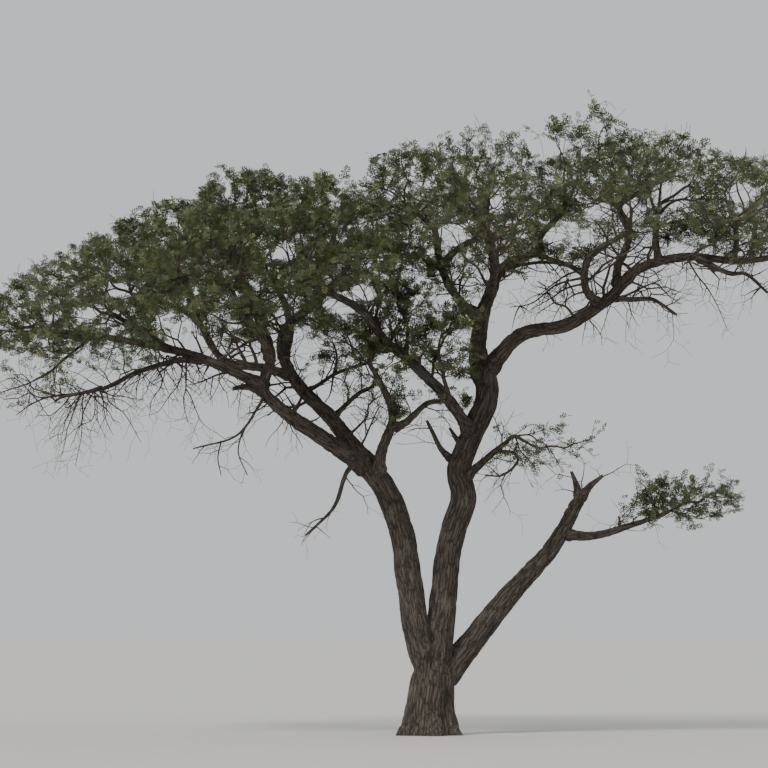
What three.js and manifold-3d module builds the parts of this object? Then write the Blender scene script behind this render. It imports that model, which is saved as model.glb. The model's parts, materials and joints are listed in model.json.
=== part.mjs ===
// An old, flat-topped acacia tree that forks low down into three stems.
// Millimetres, +Z up. The origin is the middle of the flat cut under the trunk, at ground level.
import * as THREE from "three";
import { mergeVertices } from "three/addons/utils/BufferGeometryUtils.js";
import Module from "manifold-3d";

const wasm = await Module();
wasm.setup();

// Clearances and mesh fineness
const SEAT_GAP = 0.3;
const CUT_CLEARANCE = 0.34;
const RING_STEP = 520;
const STEM_SIDES = 8;
const BOUGH_SIDES = 5;
const MASS_STEM_SIDES = 4;
const TWIG_SIDES = 3;

// Trunk: its foot, flutes and root flare
const TRUNK_SIDES = 15;
const TRUNK_DEPTH_SHARE = 0.84;
const FLUTES = 5;
const FLUTE_SHARE = 0.06;
const FLUTE_TURN = 0.7;
const FLARED_FLUTES = 0.4;
const FLARE_SHARE = 0.36;
const FLARE_HEIGHT = 300;

// Twigs and leaves of a mass; one leaf stands for a whole spray of small leaves
const TWIG_TIP_RADIUS = 11;
const TWIG_THICKENING = 0.42;
const TWIG_STEP = 1000;
const TWIG_WANDER = 70;
const BRANCHING_THRIFT = 0.45;
const LEAF_LENGTH = [680, 940];
const LEAF_WIDTH_SHARE = 0.5;
const LEAF_THICKNESS = 40;
const LEAF_WIDEST_AT = 0.45;
const SIDE_LEAF_ANGLE = 0.95;
const LEAF_TRIES = 7;
const LEAF_SHRINK = 0.05;
const LEAF_SWING = 0.25;
const LEAF_SWING_MORE = 0.3;
const LEAF_RISE = 0.45;
const LEAF_ROLL = 1.2;
const LEAF_LEVELLING = 0.5;
const LEAF_SEAT = 60;
const SPRIG_LEAF_LENGTH = 300;
const SPRIG_LEAF_TURNS = [0.3, -1.1];
const SIDE_LEAF_PLACES = [0.8, 0.6];
const STEM_LEAD = 160;
const STEM_FORKS = [0.4, 0.75];
const STEM_SHARE = 0.9;
const SHORTEST_TWIG = 150;
const HANG_DRIFT = 0.5;
const KNEE_DRIFT = 0.7;
const KNEE_DROP = 0.4;
const HANGING_TWIG = [700, 1150];
const LIMB_CLEARANCE = 70;
const MASS_CLEARANCE = 120;
const LEAF_CLEARANCE = 25;
const END_ROOM = 100;
const END_HEIGHT = [-0.75, 1];
const END_DEPTH = [0.4, 0.82];
const CANDIDATES = 14;
const ROOT_TRIES = 4;

const BARK = { color: 0x4b423b, roughness: 0.95, metalness: 0 };
const FOLIAGE = { color: 0x5d6a3c, roughness: 0.8, metalness: 0 };

// Limbs: each is one tapering piece along a smooth line through its guide points, from inside what carries it
// to its tip. radius gives the two ends. forks are its side branches and the stubs where it is broken.
const LIMBS = [
  { name: "trunk", sides: TRUNK_SIDES, radius: [440, 400],
    line: [[0, 0, 0], [20, 0, 520], [70, 0, 1050], [130, 0, 1520]] },
  { name: "left_stem", sides: STEM_SIDES, radius: [270, 215],
    line: [[20, -50, 1000], [-210, -100, 1960], [-350, -100, 2900], [-430, -100, 3620],
      [-840, -100, 4660], [-1180, -100, 5110]] },
  { name: "right_stem", sides: STEM_SIDES, radius: [280, 205],
    line: [[170, 50, 1000], [220, 50, 2100], [440, 50, 3600], [640, 50, 4430], [590, 50, 5000],
      [930, 0, 5880], [1120, 0, 6350], [1060, 0, 6980]],
    forks: [{ radius: [75, 30],
      line: [[560, 50, 5080], [230, -50, 5400], [110, -100, 5640], [-20, -150, 5900]] },
      { radius: [60, 30], line: [[740, 40, 5500], [560, -40, 5560], [420, -60, 5760]] }] },
  { name: "broken_stem", sides: STEM_SIDES, radius: [270, 120],
    line: [[190, 120, 780], [520, 250, 1370], [1440, 450, 2500], [2330, 500, 3500], [2860, 500, 4400],
      [2960, 500, 4560]],
    forks: [{ radius: [90, 35], line: [[2880, 500, 4430], [3130, 500, 4740], [3320, 480, 4890]] },
      { radius: [90, 30], line: [[2900, 500, 4420], [2840, 500, 4720], [2750, 500, 4960]] }] },
  { name: "left_low_bough", sides: STEM_SIDES, radius: [175, 60],
    line: [[-1030, -100, 4960], [-1950, -300, 5550], [-2870, -400, 6190], [-3120, -400, 6490],
      [-2960, -600, 7130], [-3240, -1000, 7880], [-3510, -1300, 8390]],
    forks: [{ radius: [110, 45], line: [[-3060, -400, 6430], [-3400, -450, 6530], [-3640, -500, 6500]] }] },
  { name: "left_high_bough", sides: STEM_SIDES, radius: [170, 60],
    line: [[-1040, -50, 4940], [-1860, 150, 5980], [-2610, 300, 6830], [-2770, 350, 7600],
      [-2100, 250, 8240], [-1620, 200, 8770]],
    forks: [{ radius: [65, 35],
      line: [[-1830, 140, 5950], [-1600, 200, 6200], [-1310, 300, 6470], [-1050, 350, 6620],
        [-970, 300, 6950]] },
      { radius: [50, 30], line: [[-2350, 250, 6500], [-2100, 300, 6620], [-1780, 400, 6840],
        [-1410, 500, 6990], [-1120, 500, 7080]] }] },
  { name: "left_long_bough", sides: BOUGH_SIDES, radius: [105, 50],
    line: [[-3090, -400, 6560], [-3710, -700, 6820], [-4480, -700, 7120], [-5710, -500, 7410],
      [-7020, -300, 7600]] },
  { name: "left_rising_bough", sides: BOUGH_SIDES, radius: [95, 50],
    line: [[-2570, 300, 6780], [-3060, 500, 6960], [-3920, 800, 7140], [-4370, 1000, 7840],
      [-4640, 1200, 8640]] },
  { name: "left_drooping_bough", sides: BOUGH_SIDES, radius: [65, 30],
    line: [[-4200, -700, 7000], [-4700, -930, 6990], [-5050, -1060, 6880], [-5530, -1300, 6680],
      [-5940, -1550, 6440], [-6600, -1880, 6260]] },
  { name: "inner_bough", sides: BOUGH_SIDES, radius: [120, 50],
    line: [[-960, -150, 4800], [-890, -450, 5280], [-670, -750, 5940], [-890, -1000, 6540],
      [-1020, -1100, 6770]] },
  { name: "inner_spur", sides: BOUGH_SIDES, radius: [80, 45],
    line: [[-690, -650, 5740], [-460, -800, 5820], [-30, -1000, 6180], [230, -1100, 6210]] },
  { name: "crossing_bough", sides: BOUGH_SIDES, radius: [125, 55],
    line: [[870, 0, 5610], [390, -600, 6250], [-200, -1000, 6840], [-800, -1350, 7310],
      [-1240, -1900, 7810], [-2170, -3000, 8190]] },
  { name: "centre_bough", sides: STEM_SIDES, radius: [190, 60],
    line: [[1080, 0, 6600], [960, 110, 7300], [1070, 200, 8030], [1300, 200, 8770], [1090, 200, 9700],
      [1130, 200, 10010]] },
  { name: "centre_right_bough", sides: BOUGH_SIDES, radius: [95, 50],
    line: [[1300, 200, 8670], [1510, 100, 8930], [2060, -300, 9130], [2130, -400, 9400],
      [2470, -600, 9750]] },
  { name: "centre_left_bough", sides: BOUGH_SIDES, radius: [100, 50],
    line: [[1050, 180, 7800], [510, -300, 8290], [200, -600, 8900], [120, -750, 9460], [-90, -800, 9660]] },
  { name: "back_centre_bough", sides: BOUGH_SIDES, radius: [75, 50],
    line: [[240, -560, 8810], [470, -200, 9100], [970, 1100, 9570], [1130, 2000, 9910]] },
  { name: "right_long_bough", sides: STEM_SIDES, radius: [155, 50],
    line: [[1060, 0, 6790], [1740, -200, 7530], [2640, -300, 7730], [3440, -300, 8240],
      [3930, -300, 8750], [4850, -300, 9010], [6000, -200, 8950], [7010, 0, 9130]] },
  { name: "right_spur", sides: BOUGH_SIDES, radius: [60, 25],
    line: [[3470, -300, 8220], [3830, -600, 8170], [4190, -800, 8150], [4630, -1000, 7840]] },
  { name: "right_fork_bough", sides: BOUGH_SIDES, radius: [85, 50],
    line: [[3280, -300, 8090], [2960, -700, 8350], [2970, -1100, 8860], [3580, -2000, 9230]] },
  { name: "right_second_bough", sides: BOUGH_SIDES, radius: [90, 50],
    line: [[3570, -300, 8430], [3610, 0, 8840], [3870, 400, 9520], [3700, 600, 10080],
      [4040, 800, 10380]] },
  { name: "right_rising_bough", sides: BOUGH_SIDES, radius: [75, 45],
    line: [[4380, -300, 8900], [4320, -150, 9350], [4390, 0, 9890]] },
  { name: "right_drooping_bough", sides: BOUGH_SIDES, radius: [65, 25],
    line: [[5080, -300, 8990], [5680, -800, 8630], [5920, -900, 8620], [6320, -1100, 8240]] },
  { name: "right_low_bough", sides: BOUGH_SIDES, radius: [90, 45],
    line: [[590, 30, 4740], [1110, -200, 5200], [1300, -300, 5360], [1490, -400, 5510]] },
  { name: "broken_stem_bough", sides: BOUGH_SIDES, radius: [100, 45],
    line: [[2540, 500, 3800], [2920, 500, 3760], [3270, 550, 3780], [4300, 700, 4100]] },
  { name: "dead_limb", sides: BOUGH_SIDES, radius: [55, 20],
    line: [[-1290, -200, 5180], [-1530, -380, 4930], [-1780, -500, 4260], [-2290, -500, 3750]] },
  { name: "dead_twig_bough", sides: TWIG_SIDES, radius: [34, 14],
    line: [[-3080, -400, 6400], [-3190, -620, 6150], [-3580, -700, 5610], [-4410, -700, 5350]],
    forks: [{ sides: TWIG_SIDES, radius: [18, 9],
      line: [[-3470, -690, 5740], [-3560, -720, 5290], [-3390, -740, 4860]] },
      { sides: TWIG_SIDES, radius: [16, 9],
        line: [[-3880, -700, 5500], [-3940, -720, 5180], [-3880, -740, 4860]] }] },
  { name: "front_outer_left_bough", sides: BOUGH_SIDES, radius: [70, 45],
    line: [[-4900, -630, 7220], [-5140, -1300, 7390], [-5720, -2600, 7660]] },
  { name: "back_outer_left_bough", sides: BOUGH_SIDES, radius: [70, 45],
    line: [[-4390, 1000, 7880], [-4790, 1700, 8220], [-5800, 2800, 8640]] },
  { name: "front_left_bough", sides: BOUGH_SIDES, radius: [95, 50],
    line: [[-2980, -570, 7040], [-3100, -1400, 7360], [-3330, -2100, 7640], [-3630, -3200, 8100]] },
  { name: "back_left_bough", sides: BOUGH_SIDES, radius: [100, 50],
    line: [[-2770, 350, 7160], [-2660, 1200, 7720], [-2760, 2000, 8290], [-2950, 2800, 8780]] },
  { name: "front_centre_bough", sides: BOUGH_SIDES, radius: [90, 50],
    line: [[1200, 200, 8350], [1220, -900, 8580], [1220, -1900, 8760], [1120, -2800, 8920]] },
  { name: "back_right_bough", sides: BOUGH_SIDES, radius: [75, 50],
    line: [[3850, 370, 9480], [3910, 1300, 9870], [3790, 2800, 10470]] },
  { name: "front_outer_right_bough", sides: BOUGH_SIDES, radius: [60, 45],
    line: [[5790, -200, 8970], [5780, -800, 9160], [5620, -2000, 9450]] },
  { name: "back_outer_right_bough", sides: BOUGH_SIDES, radius: [60, 45],
    line: [[6140, -180, 8950], [6250, 600, 9300], [6470, 1900, 9890]] },
];

// Masses of foliage: each grows from the tip of its bough into an egg-shaped space of its own. Those with a
// hang also carry that many bare twigs below, and a sprig is the tip of a shoot that stands out above.
const MASSES = [
  { name: "far_left_foliage", bough: "left_long_bough",
    centre: [-7500, -100, 7800], reach: [1450, 1800, 1000], twigs: 6, hang: 2 },
  { name: "drooping_left_foliage", bough: "left_drooping_bough",
    centre: [-7150, -2000, 6350], reach: [900, 950, 460], twigs: 5, hang: 4 },
  { name: "front_outer_left_foliage", bough: "front_outer_left_bough",
    centre: [-5900, -2900, 7850], reach: [1600, 1700, 1150], twigs: 6 },
  { name: "back_outer_left_foliage", bough: "back_outer_left_bough",
    centre: [-6000, 3000, 9150], reach: [1600, 2000, 1050], twigs: 6 },
  { name: "upper_left_foliage", bough: "left_rising_bough",
    centre: [-4900, 700, 9000], reach: [1600, 1700, 1350], twigs: 6 },
  { name: "left_crown_foliage", bough: "left_low_bough",
    centre: [-3450, -1400, 9400], reach: [1500, 1600, 1350], twigs: 6 },
  { name: "front_left_foliage", bough: "front_left_bough",
    centre: [-3900, -3600, 8350], reach: [1700, 1600, 1350], twigs: 6 },
  { name: "back_left_foliage", bough: "back_left_bough",
    centre: [-3200, 3150, 9850], reach: [1900, 2000, 1300], twigs: 6 },
  { name: "left_top_foliage", bough: "left_high_bough",
    centre: [-1500, 700, 9500], reach: [1600, 1800, 1250], twigs: 6 },
  { name: "front_crown_foliage", bough: "crossing_bough",
    centre: [-1950, -3500, 8700], reach: [1700, 1700, 1250], twigs: 6 },
  { name: "inner_foliage", bough: "inner_bough",
    centre: [-1100, -900, 7700], reach: [1600, 1100, 1150], twigs: 6 },
  { name: "inner_right_foliage", bough: "inner_spur",
    centre: [100, -1300, 7300], reach: [1050, 1000, 1100], twigs: 7 },
  { name: "centre_left_foliage", bough: "centre_left_bough",
    centre: [-350, -1300, 9550], reach: [1350, 1600, 1450], twigs: 6 },
  { name: "centre_top_foliage", bough: "centre_bough",
    centre: [1150, 400, 10550], reach: [1400, 1600, 1050], twigs: 6 },
  { name: "centre_right_foliage", bough: "centre_right_bough",
    centre: [2850, -900, 10550], reach: [1350, 1500, 1300], twigs: 7,
    sprig: [3080, -850, 11830] },
  { name: "back_centre_foliage", bough: "back_centre_bough",
    centre: [450, 3100, 10650], reach: [2050, 1950, 1000], twigs: 6 },
  { name: "front_centre_foliage", bough: "front_centre_bough",
    centre: [1000, -3300, 9400], reach: [1900, 1800, 1050], twigs: 6 },
  { name: "right_top_foliage", bough: "right_second_bough",
    centre: [4100, 900, 10800], reach: [1350, 1500, 900], twigs: 7 },
  { name: "right_upper_foliage", bough: "right_rising_bough",
    centre: [5100, -600, 10450], reach: [1350, 1350, 950], twigs: 6 },
  { name: "front_right_foliage", bough: "right_fork_bough",
    centre: [3650, -3000, 9650], reach: [1700, 1700, 1000], twigs: 7 },
  { name: "back_right_foliage", bough: "back_right_bough",
    centre: [3650, 3200, 10800], reach: [1900, 1850, 1000], twigs: 6 },
  { name: "far_right_foliage", bough: "right_long_bough",
    centre: [7250, 0, 10000], reach: [1200, 1600, 950], twigs: 7 },
  { name: "front_outer_right_foliage", bough: "front_outer_right_bough",
    centre: [5900, -2500, 9700], reach: [1600, 1650, 900], twigs: 6 },
  { name: "back_outer_right_foliage", bough: "back_outer_right_bough",
    centre: [6250, 2600, 10450], reach: [1550, 1700, 950], twigs: 6 },
  { name: "low_right_foliage", bough: "right_low_bough",
    centre: [2200, -550, 5300], reach: [1050, 750, 640], twigs: 6 },
  { name: "broken_stem_foliage", bough: "broken_stem_bough",
    centre: [4950, 750, 4400], reach: [1150, 850, 600], twigs: 6 },
];

const point = (xyz) => new THREE.Vector3(...xyz);

const UP = point([0, 0, 1]);

const mix = (a, b, share) => a + (b - a) * share;

// A repeatable stream of numbers from 0 to 1
function seeded(seed) {
  let state = seed;
  return () => {
    state = (state + 0x6d2b79f5) | 0;
    let t = Math.imul(state ^ (state >>> 15), 1 | state);
    t = (t + Math.imul(t ^ (t >>> 7), 61 | t)) ^ t;
    return ((t ^ (t >>> 14)) >>> 0) / 4294967296;
  };
}

function solidOf(positions, triangles) {
  const vertProperties = new Float32Array(positions);
  const triVerts = new Uint32Array(triangles);
  return new wasm.Manifold(new wasm.Mesh({ numProp: 3, vertProperties, triVerts }));
}

// Rings of points round a line become one closed skin with a flat face at each end.
function skin(rings) {
  const sides = rings[0].length;
  const positions = rings.flat().flatMap((p) => [p.x, p.y, p.z]);
  const triangles = [];
  for (let ring = 0; ring + 1 < rings.length; ring += 1) {
    for (let side = 0; side < sides; side += 1) {
      const a = ring * sides + side;
      const b = ring * sides + ((side + 1) % sides);
      triangles.push(a, b, b + sides, a, b + sides, a + sides);
    }
  }
  const last = (rings.length - 1) * sides;
  for (let side = 1; side + 1 < sides; side += 1) {
    triangles.push(0, side + 1, side, last, last + side, last + side + 1);
  }
  return solidOf(positions, triangles);
}

// Tangents and a pair of cross directions that don't twist along the line
function frames(points) {
  const tangents = points.map((p, i) => {
    const before = points[Math.max(0, i - 1)];
    const after = points[Math.min(points.length - 1, i + 1)];
    return after.clone().sub(before).normalize();
  });
  let across = new THREE.Vector3(1, 0, 0);
  if (Math.abs(tangents[0].x) > 0.8) {
    across = new THREE.Vector3(0, 1, 0);
  }
  return tangents.map((along) => {
    across.addScaledVector(along, -across.dot(along)).normalize();
    const side = across.clone();
    return { along, side, up: along.clone().cross(side) };
  });
}

function ringsAlong(points, radii, sides, swell) {
  return frames(points).map((frame, i) => {
    const ring = [];
    for (let side = 0; side < sides; side += 1) {
      const angle = (2 * Math.PI * side) / sides;
      const [wide, deep] = swell(angle, points[i]);
      const reach = radii[i];
      ring.push(points[i].clone()
        .addScaledVector(frame.side, Math.cos(angle) * reach * wide)
        .addScaledVector(frame.up, Math.sin(angle) * reach * deep));
    }
    return ring;
  });
}

const round = () => [1, 1];

// The trunk is wider than deep, fluted, and swells towards the roots.
function trunkSwell(angle, at) {
  const flare = FLARE_SHARE * Math.exp(-at.z / FLARE_HEIGHT);
  const flutes = (FLUTE_SHARE + FLARED_FLUTES * flare) * Math.cos(FLUTES * angle + FLUTE_TURN);
  const share = 1 + flare + flutes;
  return [share, share * TRUNK_DEPTH_SHARE];
}

// A limb's smooth line, with its radius at each ring
function course(row) {
  const curve = new THREE.CatmullRomCurve3(row.line.map(point), false, "centripetal");
  const steps = Math.max(2, Math.round(curve.getLength() / RING_STEP));
  const points = curve.getSpacedPoints(steps);
  const radii = points.map((p, i) => mix(row.radius[0], row.radius[1], i / steps));
  return { points, radii };
}

// The limb as it grows, thickened all over by extra where it is used to cut its neighbours
function limbSolid(row, extra) {
  const sides = row.sides ?? BOUGH_SIDES;
  const { points, radii } = course(row);
  const thickened = radii.map((r) => r + extra / Math.cos(Math.PI / sides));
  const rings = ringsAlong(points, thickened, sides, row.name === "trunk" ? trunkSwell : round);
  if (row.name === "trunk") {
    for (const p of rings[0]) {
      p.z = 0;
    }
  }
  if (extra > 0) {
    const ends = frames(points);
    rings[0].forEach((p) => p.addScaledVector(ends[0].along, -extra));
    rings.at(-1).forEach((p) => p.addScaledVector(ends.at(-1).along, extra));
  }
  return (row.forks ?? []).reduce((solid, fork) => solid.add(limbSolid(fork, extra)), skin(rings));
}

// Keeps the largest closed body of a solid: loose scraps go, and sealed hollows are filled.
function largestBody(solid) {
  const { vertProperties, triVerts } = solid.getMesh();
  const home = Array.from({ length: vertProperties.length / 3 }, (_, i) => i);
  const find = (i) => {
    while (home[i] !== i) {
      home[i] = home[home[i]];
      i = home[i];
    }
    return i;
  };
  for (let t = 0; t < triVerts.length; t += 3) {
    home[find(triVerts[t])] = find(triVerts[t + 1]);
    home[find(triVerts[t + 1])] = find(triVerts[t + 2]);
  }
  const corner = (i) => new THREE.Vector3().fromArray(vertProperties, 3 * i);
  const bodies = new Map();
  for (let t = 0; t < triVerts.length; t += 3) {
    const key = find(triVerts[t]);
    const body = bodies.get(key) ?? { volume: 0, triangles: [] };
    const [a, b, c] = [triVerts[t], triVerts[t + 1], triVerts[t + 2]];
    body.volume += corner(a).dot(corner(b).cross(corner(c))) / 6;
    body.triangles.push(a, b, c);
    bodies.set(key, body);
  }
  const [largest] = [...bodies.values()].sort((a, b) => b.volume - a.volume);
  return solidOf(vertProperties, largest.triangles);
}

function boxesMeet(a, b) {
  return [0, 1, 2].every((axis) => a.min[axis] <= b.max[axis] && b.min[axis] <= a.max[axis]);
}

// Each limb is seated on the ones before it: their solids, a little thickened, are cut out of it.
function growLimbs() {
  const cutters = [];
  return LIMBS.map((row) => {
    let solid = limbSolid(row, 0);
    for (const cutter of cutters) {
      if (boxesMeet(solid.boundingBox(), cutter.boundingBox())) {
        solid = solid.subtract(cutter);
      }
    }
    cutters.push(limbSolid(row, CUT_CLEARANCE));
    return { name: row.name, solid: largestBody(solid) };
  });
}

// Shortest distance between two straight stretches
function stretchGap(p, q) {
  const u = q.a.clone().sub(p.a);
  const d1 = p.b.clone().sub(p.a);
  const d2 = q.b.clone().sub(q.a);
  const a = d1.dot(d1) || 1e-9;
  const e = d2.dot(d2) || 1e-9;
  const b = d1.dot(d2);
  const c = d1.dot(u);
  const f = d2.dot(u);
  const spread = a * e - b * b;
  let s = spread > 1e-9 ? THREE.MathUtils.clamp((c * e - f * b) / spread, 0, 1) : 0;
  const t = THREE.MathUtils.clamp((b * s - f) / e, 0, 1);
  s = THREE.MathUtils.clamp((b * t + c) / a, 0, 1);
  return d1.multiplyScalar(s).add(p.a).distanceTo(d2.multiplyScalar(t).add(q.a));
}

function stretches(points, radii) {
  return points.slice(1).map((b, i) => ({ a: points[i], b, r: Math.max(radii[i], radii[i + 1]) }));
}

// The distance between two points, measured in the reach of a mass
function spreadIn(mass, p, q) {
  return Math.hypot(...["x", "y", "z"].map((axis, i) => (p[axis] - q[axis]) / mass.reach[i]));
}

// How deep a point lies in a mass's space: 0 in the middle, 1 on its skin
const depthIn = (mass, p) => spreadIn(mass, p, point(mass.centre));

const owns = (mass, p) => {
  const depth = depthIn(mass, p);
  return depth <= 1 && MASSES.every((other) => other === mass || depthIn(other, p) >= depth);
};

function isClear(piece, obstacles, clearance) {
  return obstacles.every((o) => stretchGap(piece, o) > piece.r + o.r + clearance);
}

// Whether all of a leaf or twig keeps its distance from the limbs and from the other masses
function allClear(pieces, blocks) {
  return pieces.every((piece) => blocks.every(({ of, clearance }) => isClear(piece, of, clearance)));
}

// A leaf's blade: pointed at both ends, widest near its middle
function makeLeaf(root, along, across, length) {
  const waist = root.clone().addScaledVector(along, length * LEAF_WIDEST_AT);
  const half = (length * LEAF_WIDTH_SHARE) / 2;
  const face = along.clone().cross(across).normalize();
  const tip = root.clone().addScaledVector(along, length);
  const left = waist.clone().addScaledVector(across, half);
  const right = waist.clone().addScaledVector(across, -half);
  const top = waist.clone().addScaledVector(face, LEAF_THICKNESS / 2);
  const under = waist.clone().addScaledVector(face, -LEAF_THICKNESS / 2);
  return { root, tip, left, right, top, under };
}

function leafSolid(leaf) {
  const corners = [leaf.root, leaf.left, leaf.tip, leaf.right, leaf.top, leaf.under];
  const triangles = [];
  for (let side = 0; side < 4; side += 1) {
    const next = (side + 1) % 4;
    triangles.push(next, side, 4, side, next, 5);
  }
  return solidOf(corners.flatMap((p) => [p.x, p.y, p.z]), triangles);
}

function leafStretches(leaf) {
  const outline = [["root", "left"], ["left", "tip"], ["tip", "right"], ["right", "root"]];
  const ribs = [["root", "tip"], ["left", "right"]];
  return [...outline, ...ribs].map(([from, to]) => ({ a: leaf[from], b: leaf[to], r: 0 }));
}

// The stem of a mass leaves its bough's tip in line with it, then bends towards the middle of the space.
function startMass(mass, limbs) {
  const { points, radii } = limbs.get(mass.bough);
  const tip = points.at(-1);
  const heading = frames(points).at(-1).along;
  const middle = point(mass.centre);
  const root = tip.clone().addScaledVector(heading, SEAT_GAP);
  const elbow = root.clone().addScaledVector(heading, STEM_LEAD);
  const nodes = [{ at: root, from: -1, run: 0 }, { at: elbow, from: 0, run: STEM_LEAD }];
  for (const share of STEM_FORKS) {
    const at = elbow.clone().lerp(middle, share);
    nodes.push({ at, from: nodes.length - 1, run: STEM_LEAD + at.distanceTo(elbow) });
  }
  return { mass, nodes, stout: radii.at(-1) * STEM_SHARE, leaves: [], edges: [] };
}

// Places for twig ends, each the farthest from the others among a few tries
function chooseEnds(mass, rand, limbStretches) {
  const ends = [];
  for (let n = 0; n < mass.twigs; n += 1) {
    let best = null;
    let bestSpace = -1;
    for (let tried = 0; tried < CANDIDATES; tried += 1) {
      const azimuth = 2 * Math.PI * rand();
      const height = mix(END_HEIGHT[0], END_HEIGHT[1], rand());
      const out = mix(END_DEPTH[0], END_DEPTH[1], rand());
      const level = Math.sqrt(1 - height * height);
      const unit = [level * Math.cos(azimuth), level * Math.sin(azimuth), height];
      const p = point(unit.map((v, i) => mass.centre[i] + v * out * mass.reach[i]));
      const space = Math.min(1e3, ...ends.map((q) => spreadIn(mass, p, q)));
      const clear = isClear({ a: p, b: p, r: END_ROOM }, limbStretches, LIMB_CLEARANCE);
      if (space > bestSpace && clear && owns(mass, p)) {
        best = p;
        bestSpace = space;
      }
    }
    if (best) {
      ends.push(best);
    }
  }
  return ends;
}

// Grows one twig from the node that reaches its end most directly; it is skipped where nothing is clear.
function growTwig(growth, end, rand, blocks) {
  const { nodes, mass } = growth;
  const order = nodes.map((node, i) => ({ i, cost: node.at.distanceTo(end) + BRANCHING_THRIFT * node.run }))
    .filter(({ i }) => i > 0)
    .sort((a, b) => a.cost - b.cost)
    .slice(0, ROOT_TRIES);
  for (const { i } of order) {
    const start = nodes[i].at;
    const span = start.distanceTo(end);
    const steps = Math.max(1, Math.round(span / TWIG_STEP));
    const line = [start];
    for (let step = 1; step <= steps; step += 1) {
      const at = start.clone().lerp(end, step / steps);
      if (step < steps) {
        at.add(point([rand() - 0.5, rand() - 0.5, rand()]).multiplyScalar(2 * TWIG_WANDER));
      }
      line.push(at);
    }
    const pieces = stretches(line, line.map(() => TWIG_TIP_RADIUS));
    const inside = line.slice(1).every((p) => depthIn(mass, p) <= 1);
    if (span > SHORTEST_TWIG && inside && allClear(pieces, blocks)) {
      line.slice(1).forEach((at) => {
        const from = at === line[1] ? i : nodes.length - 1;
        nodes.push({ at, from, run: nodes[from].run + nodes[from].at.distanceTo(at) });
      });
      return line;
    }
  }
  return null;
}

// One leaf from a point on a twig: the first of a few poses that stays in the mass's space and is clear
function addLeaf(growth, root, heading, rand, blocks) {
  for (let tried = 0; tried < LEAF_TRIES; tried += 1) {
    const length = mix(LEAF_LENGTH[0], LEAF_LENGTH[1], rand()) * (1 - LEAF_SHRINK * tried);
    const swing = (LEAF_SWING + LEAF_SWING_MORE * tried) * (2 * rand() - 1);
    const along = heading.clone().applyAxisAngle(UP, swing);
    along.z += LEAF_RISE * (2 * rand() - 1);
    along.normalize();
    const across = UP.clone().cross(along).normalize().applyAxisAngle(along, LEAF_ROLL * (2 * rand() - 1));
    const leaf = makeLeaf(root, along, across, length);
    const fits = [leaf.tip, leaf.left, leaf.right].every((p) => owns(growth.mass, p));
    const edges = leafStretches(leaf);
    const apart = edges.every((edge) => isClear(edge, growth.edges, LEAF_CLEARANCE));
    if (fits && apart && allClear(edges, blocks)) {
      growth.leaves.push(leaf);
      growth.edges.push(...edges);
      return;
    }
  }
}

// A leaf at the twig's end and one on each side before it
function dressTwig(growth, line, rand, blocks) {
  const end = line.at(-1);
  const before = line.at(-2);
  const heading = end.clone().sub(before);
  const reach = heading.length();
  heading.z *= LEAF_LEVELLING;
  heading.normalize();
  const [outer, inner] = SIDE_LEAF_PLACES;
  const places = [[1 - Math.min(1 - outer, LEAF_SEAT / reach), 0], [outer, SIDE_LEAF_ANGLE],
    [inner, -SIDE_LEAF_ANGLE]];
  for (const [share, turn] of places) {
    addLeaf(growth, before.clone().lerp(end, share), heading.clone().applyAxisAngle(UP, turn), rand, blocks);
  }
}

// A shoot from the nearest twig up to the sprig's tip, with two small leaves fused on
function addSprig(growth) {
  const { nodes, mass } = growth;
  const tip = point(mass.sprig);
  const [nearest] = [...nodes].sort((a, b) => a.at.distanceTo(tip) - b.at.distanceTo(tip));
  nodes.push({ at: tip, from: nodes.indexOf(nearest), run: 0 });
  const root = tip.clone().lerp(nearest.at, LEAF_SEAT / tip.distanceTo(nearest.at));
  for (const turn of SPRIG_LEAF_TURNS) {
    const along = point([Math.sin(turn), 0, Math.cos(turn)]);
    const across = point([Math.cos(turn), 0, -Math.sin(turn)]);
    growth.leaves.push(makeLeaf(root, along, across, SPRIG_LEAF_LENGTH));
  }
}

// Bare twigs that hang from the lowest forks
function hangTwigs(growth, rand, blocks) {
  const { nodes, mass } = growth;
  const low = nodes.map((node, i) => ({ i, z: node.at.z })).filter(({ i }) => i > 1);
  low.sort((a, b) => a.z - b.z);
  let left = mass.hang ?? 0;
  for (const { i } of low) {
    const length = mix(HANGING_TWIG[0], HANGING_TWIG[1], rand());
    const drift = point([rand() - 0.5, rand() - 0.5, 0]).multiplyScalar(HANG_DRIFT * length);
    const drop = point([0, 0, -KNEE_DROP * length]);
    const knee = nodes[i].at.clone().addScaledVector(drift, KNEE_DRIFT).add(drop);
    const end = nodes[i].at.clone().add(drift).add(point([0, 0, -length]));
    const line = [nodes[i].at, knee, end];
    const pieces = stretches(line, line.map(() => TWIG_TIP_RADIUS));
    if (left > 0 && allClear(pieces, blocks)) {
      nodes.push({ at: knee, from: i, run: 0 }, { at: end, from: nodes.length, run: 0 });
      left -= 1;
    }
  }
}

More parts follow.
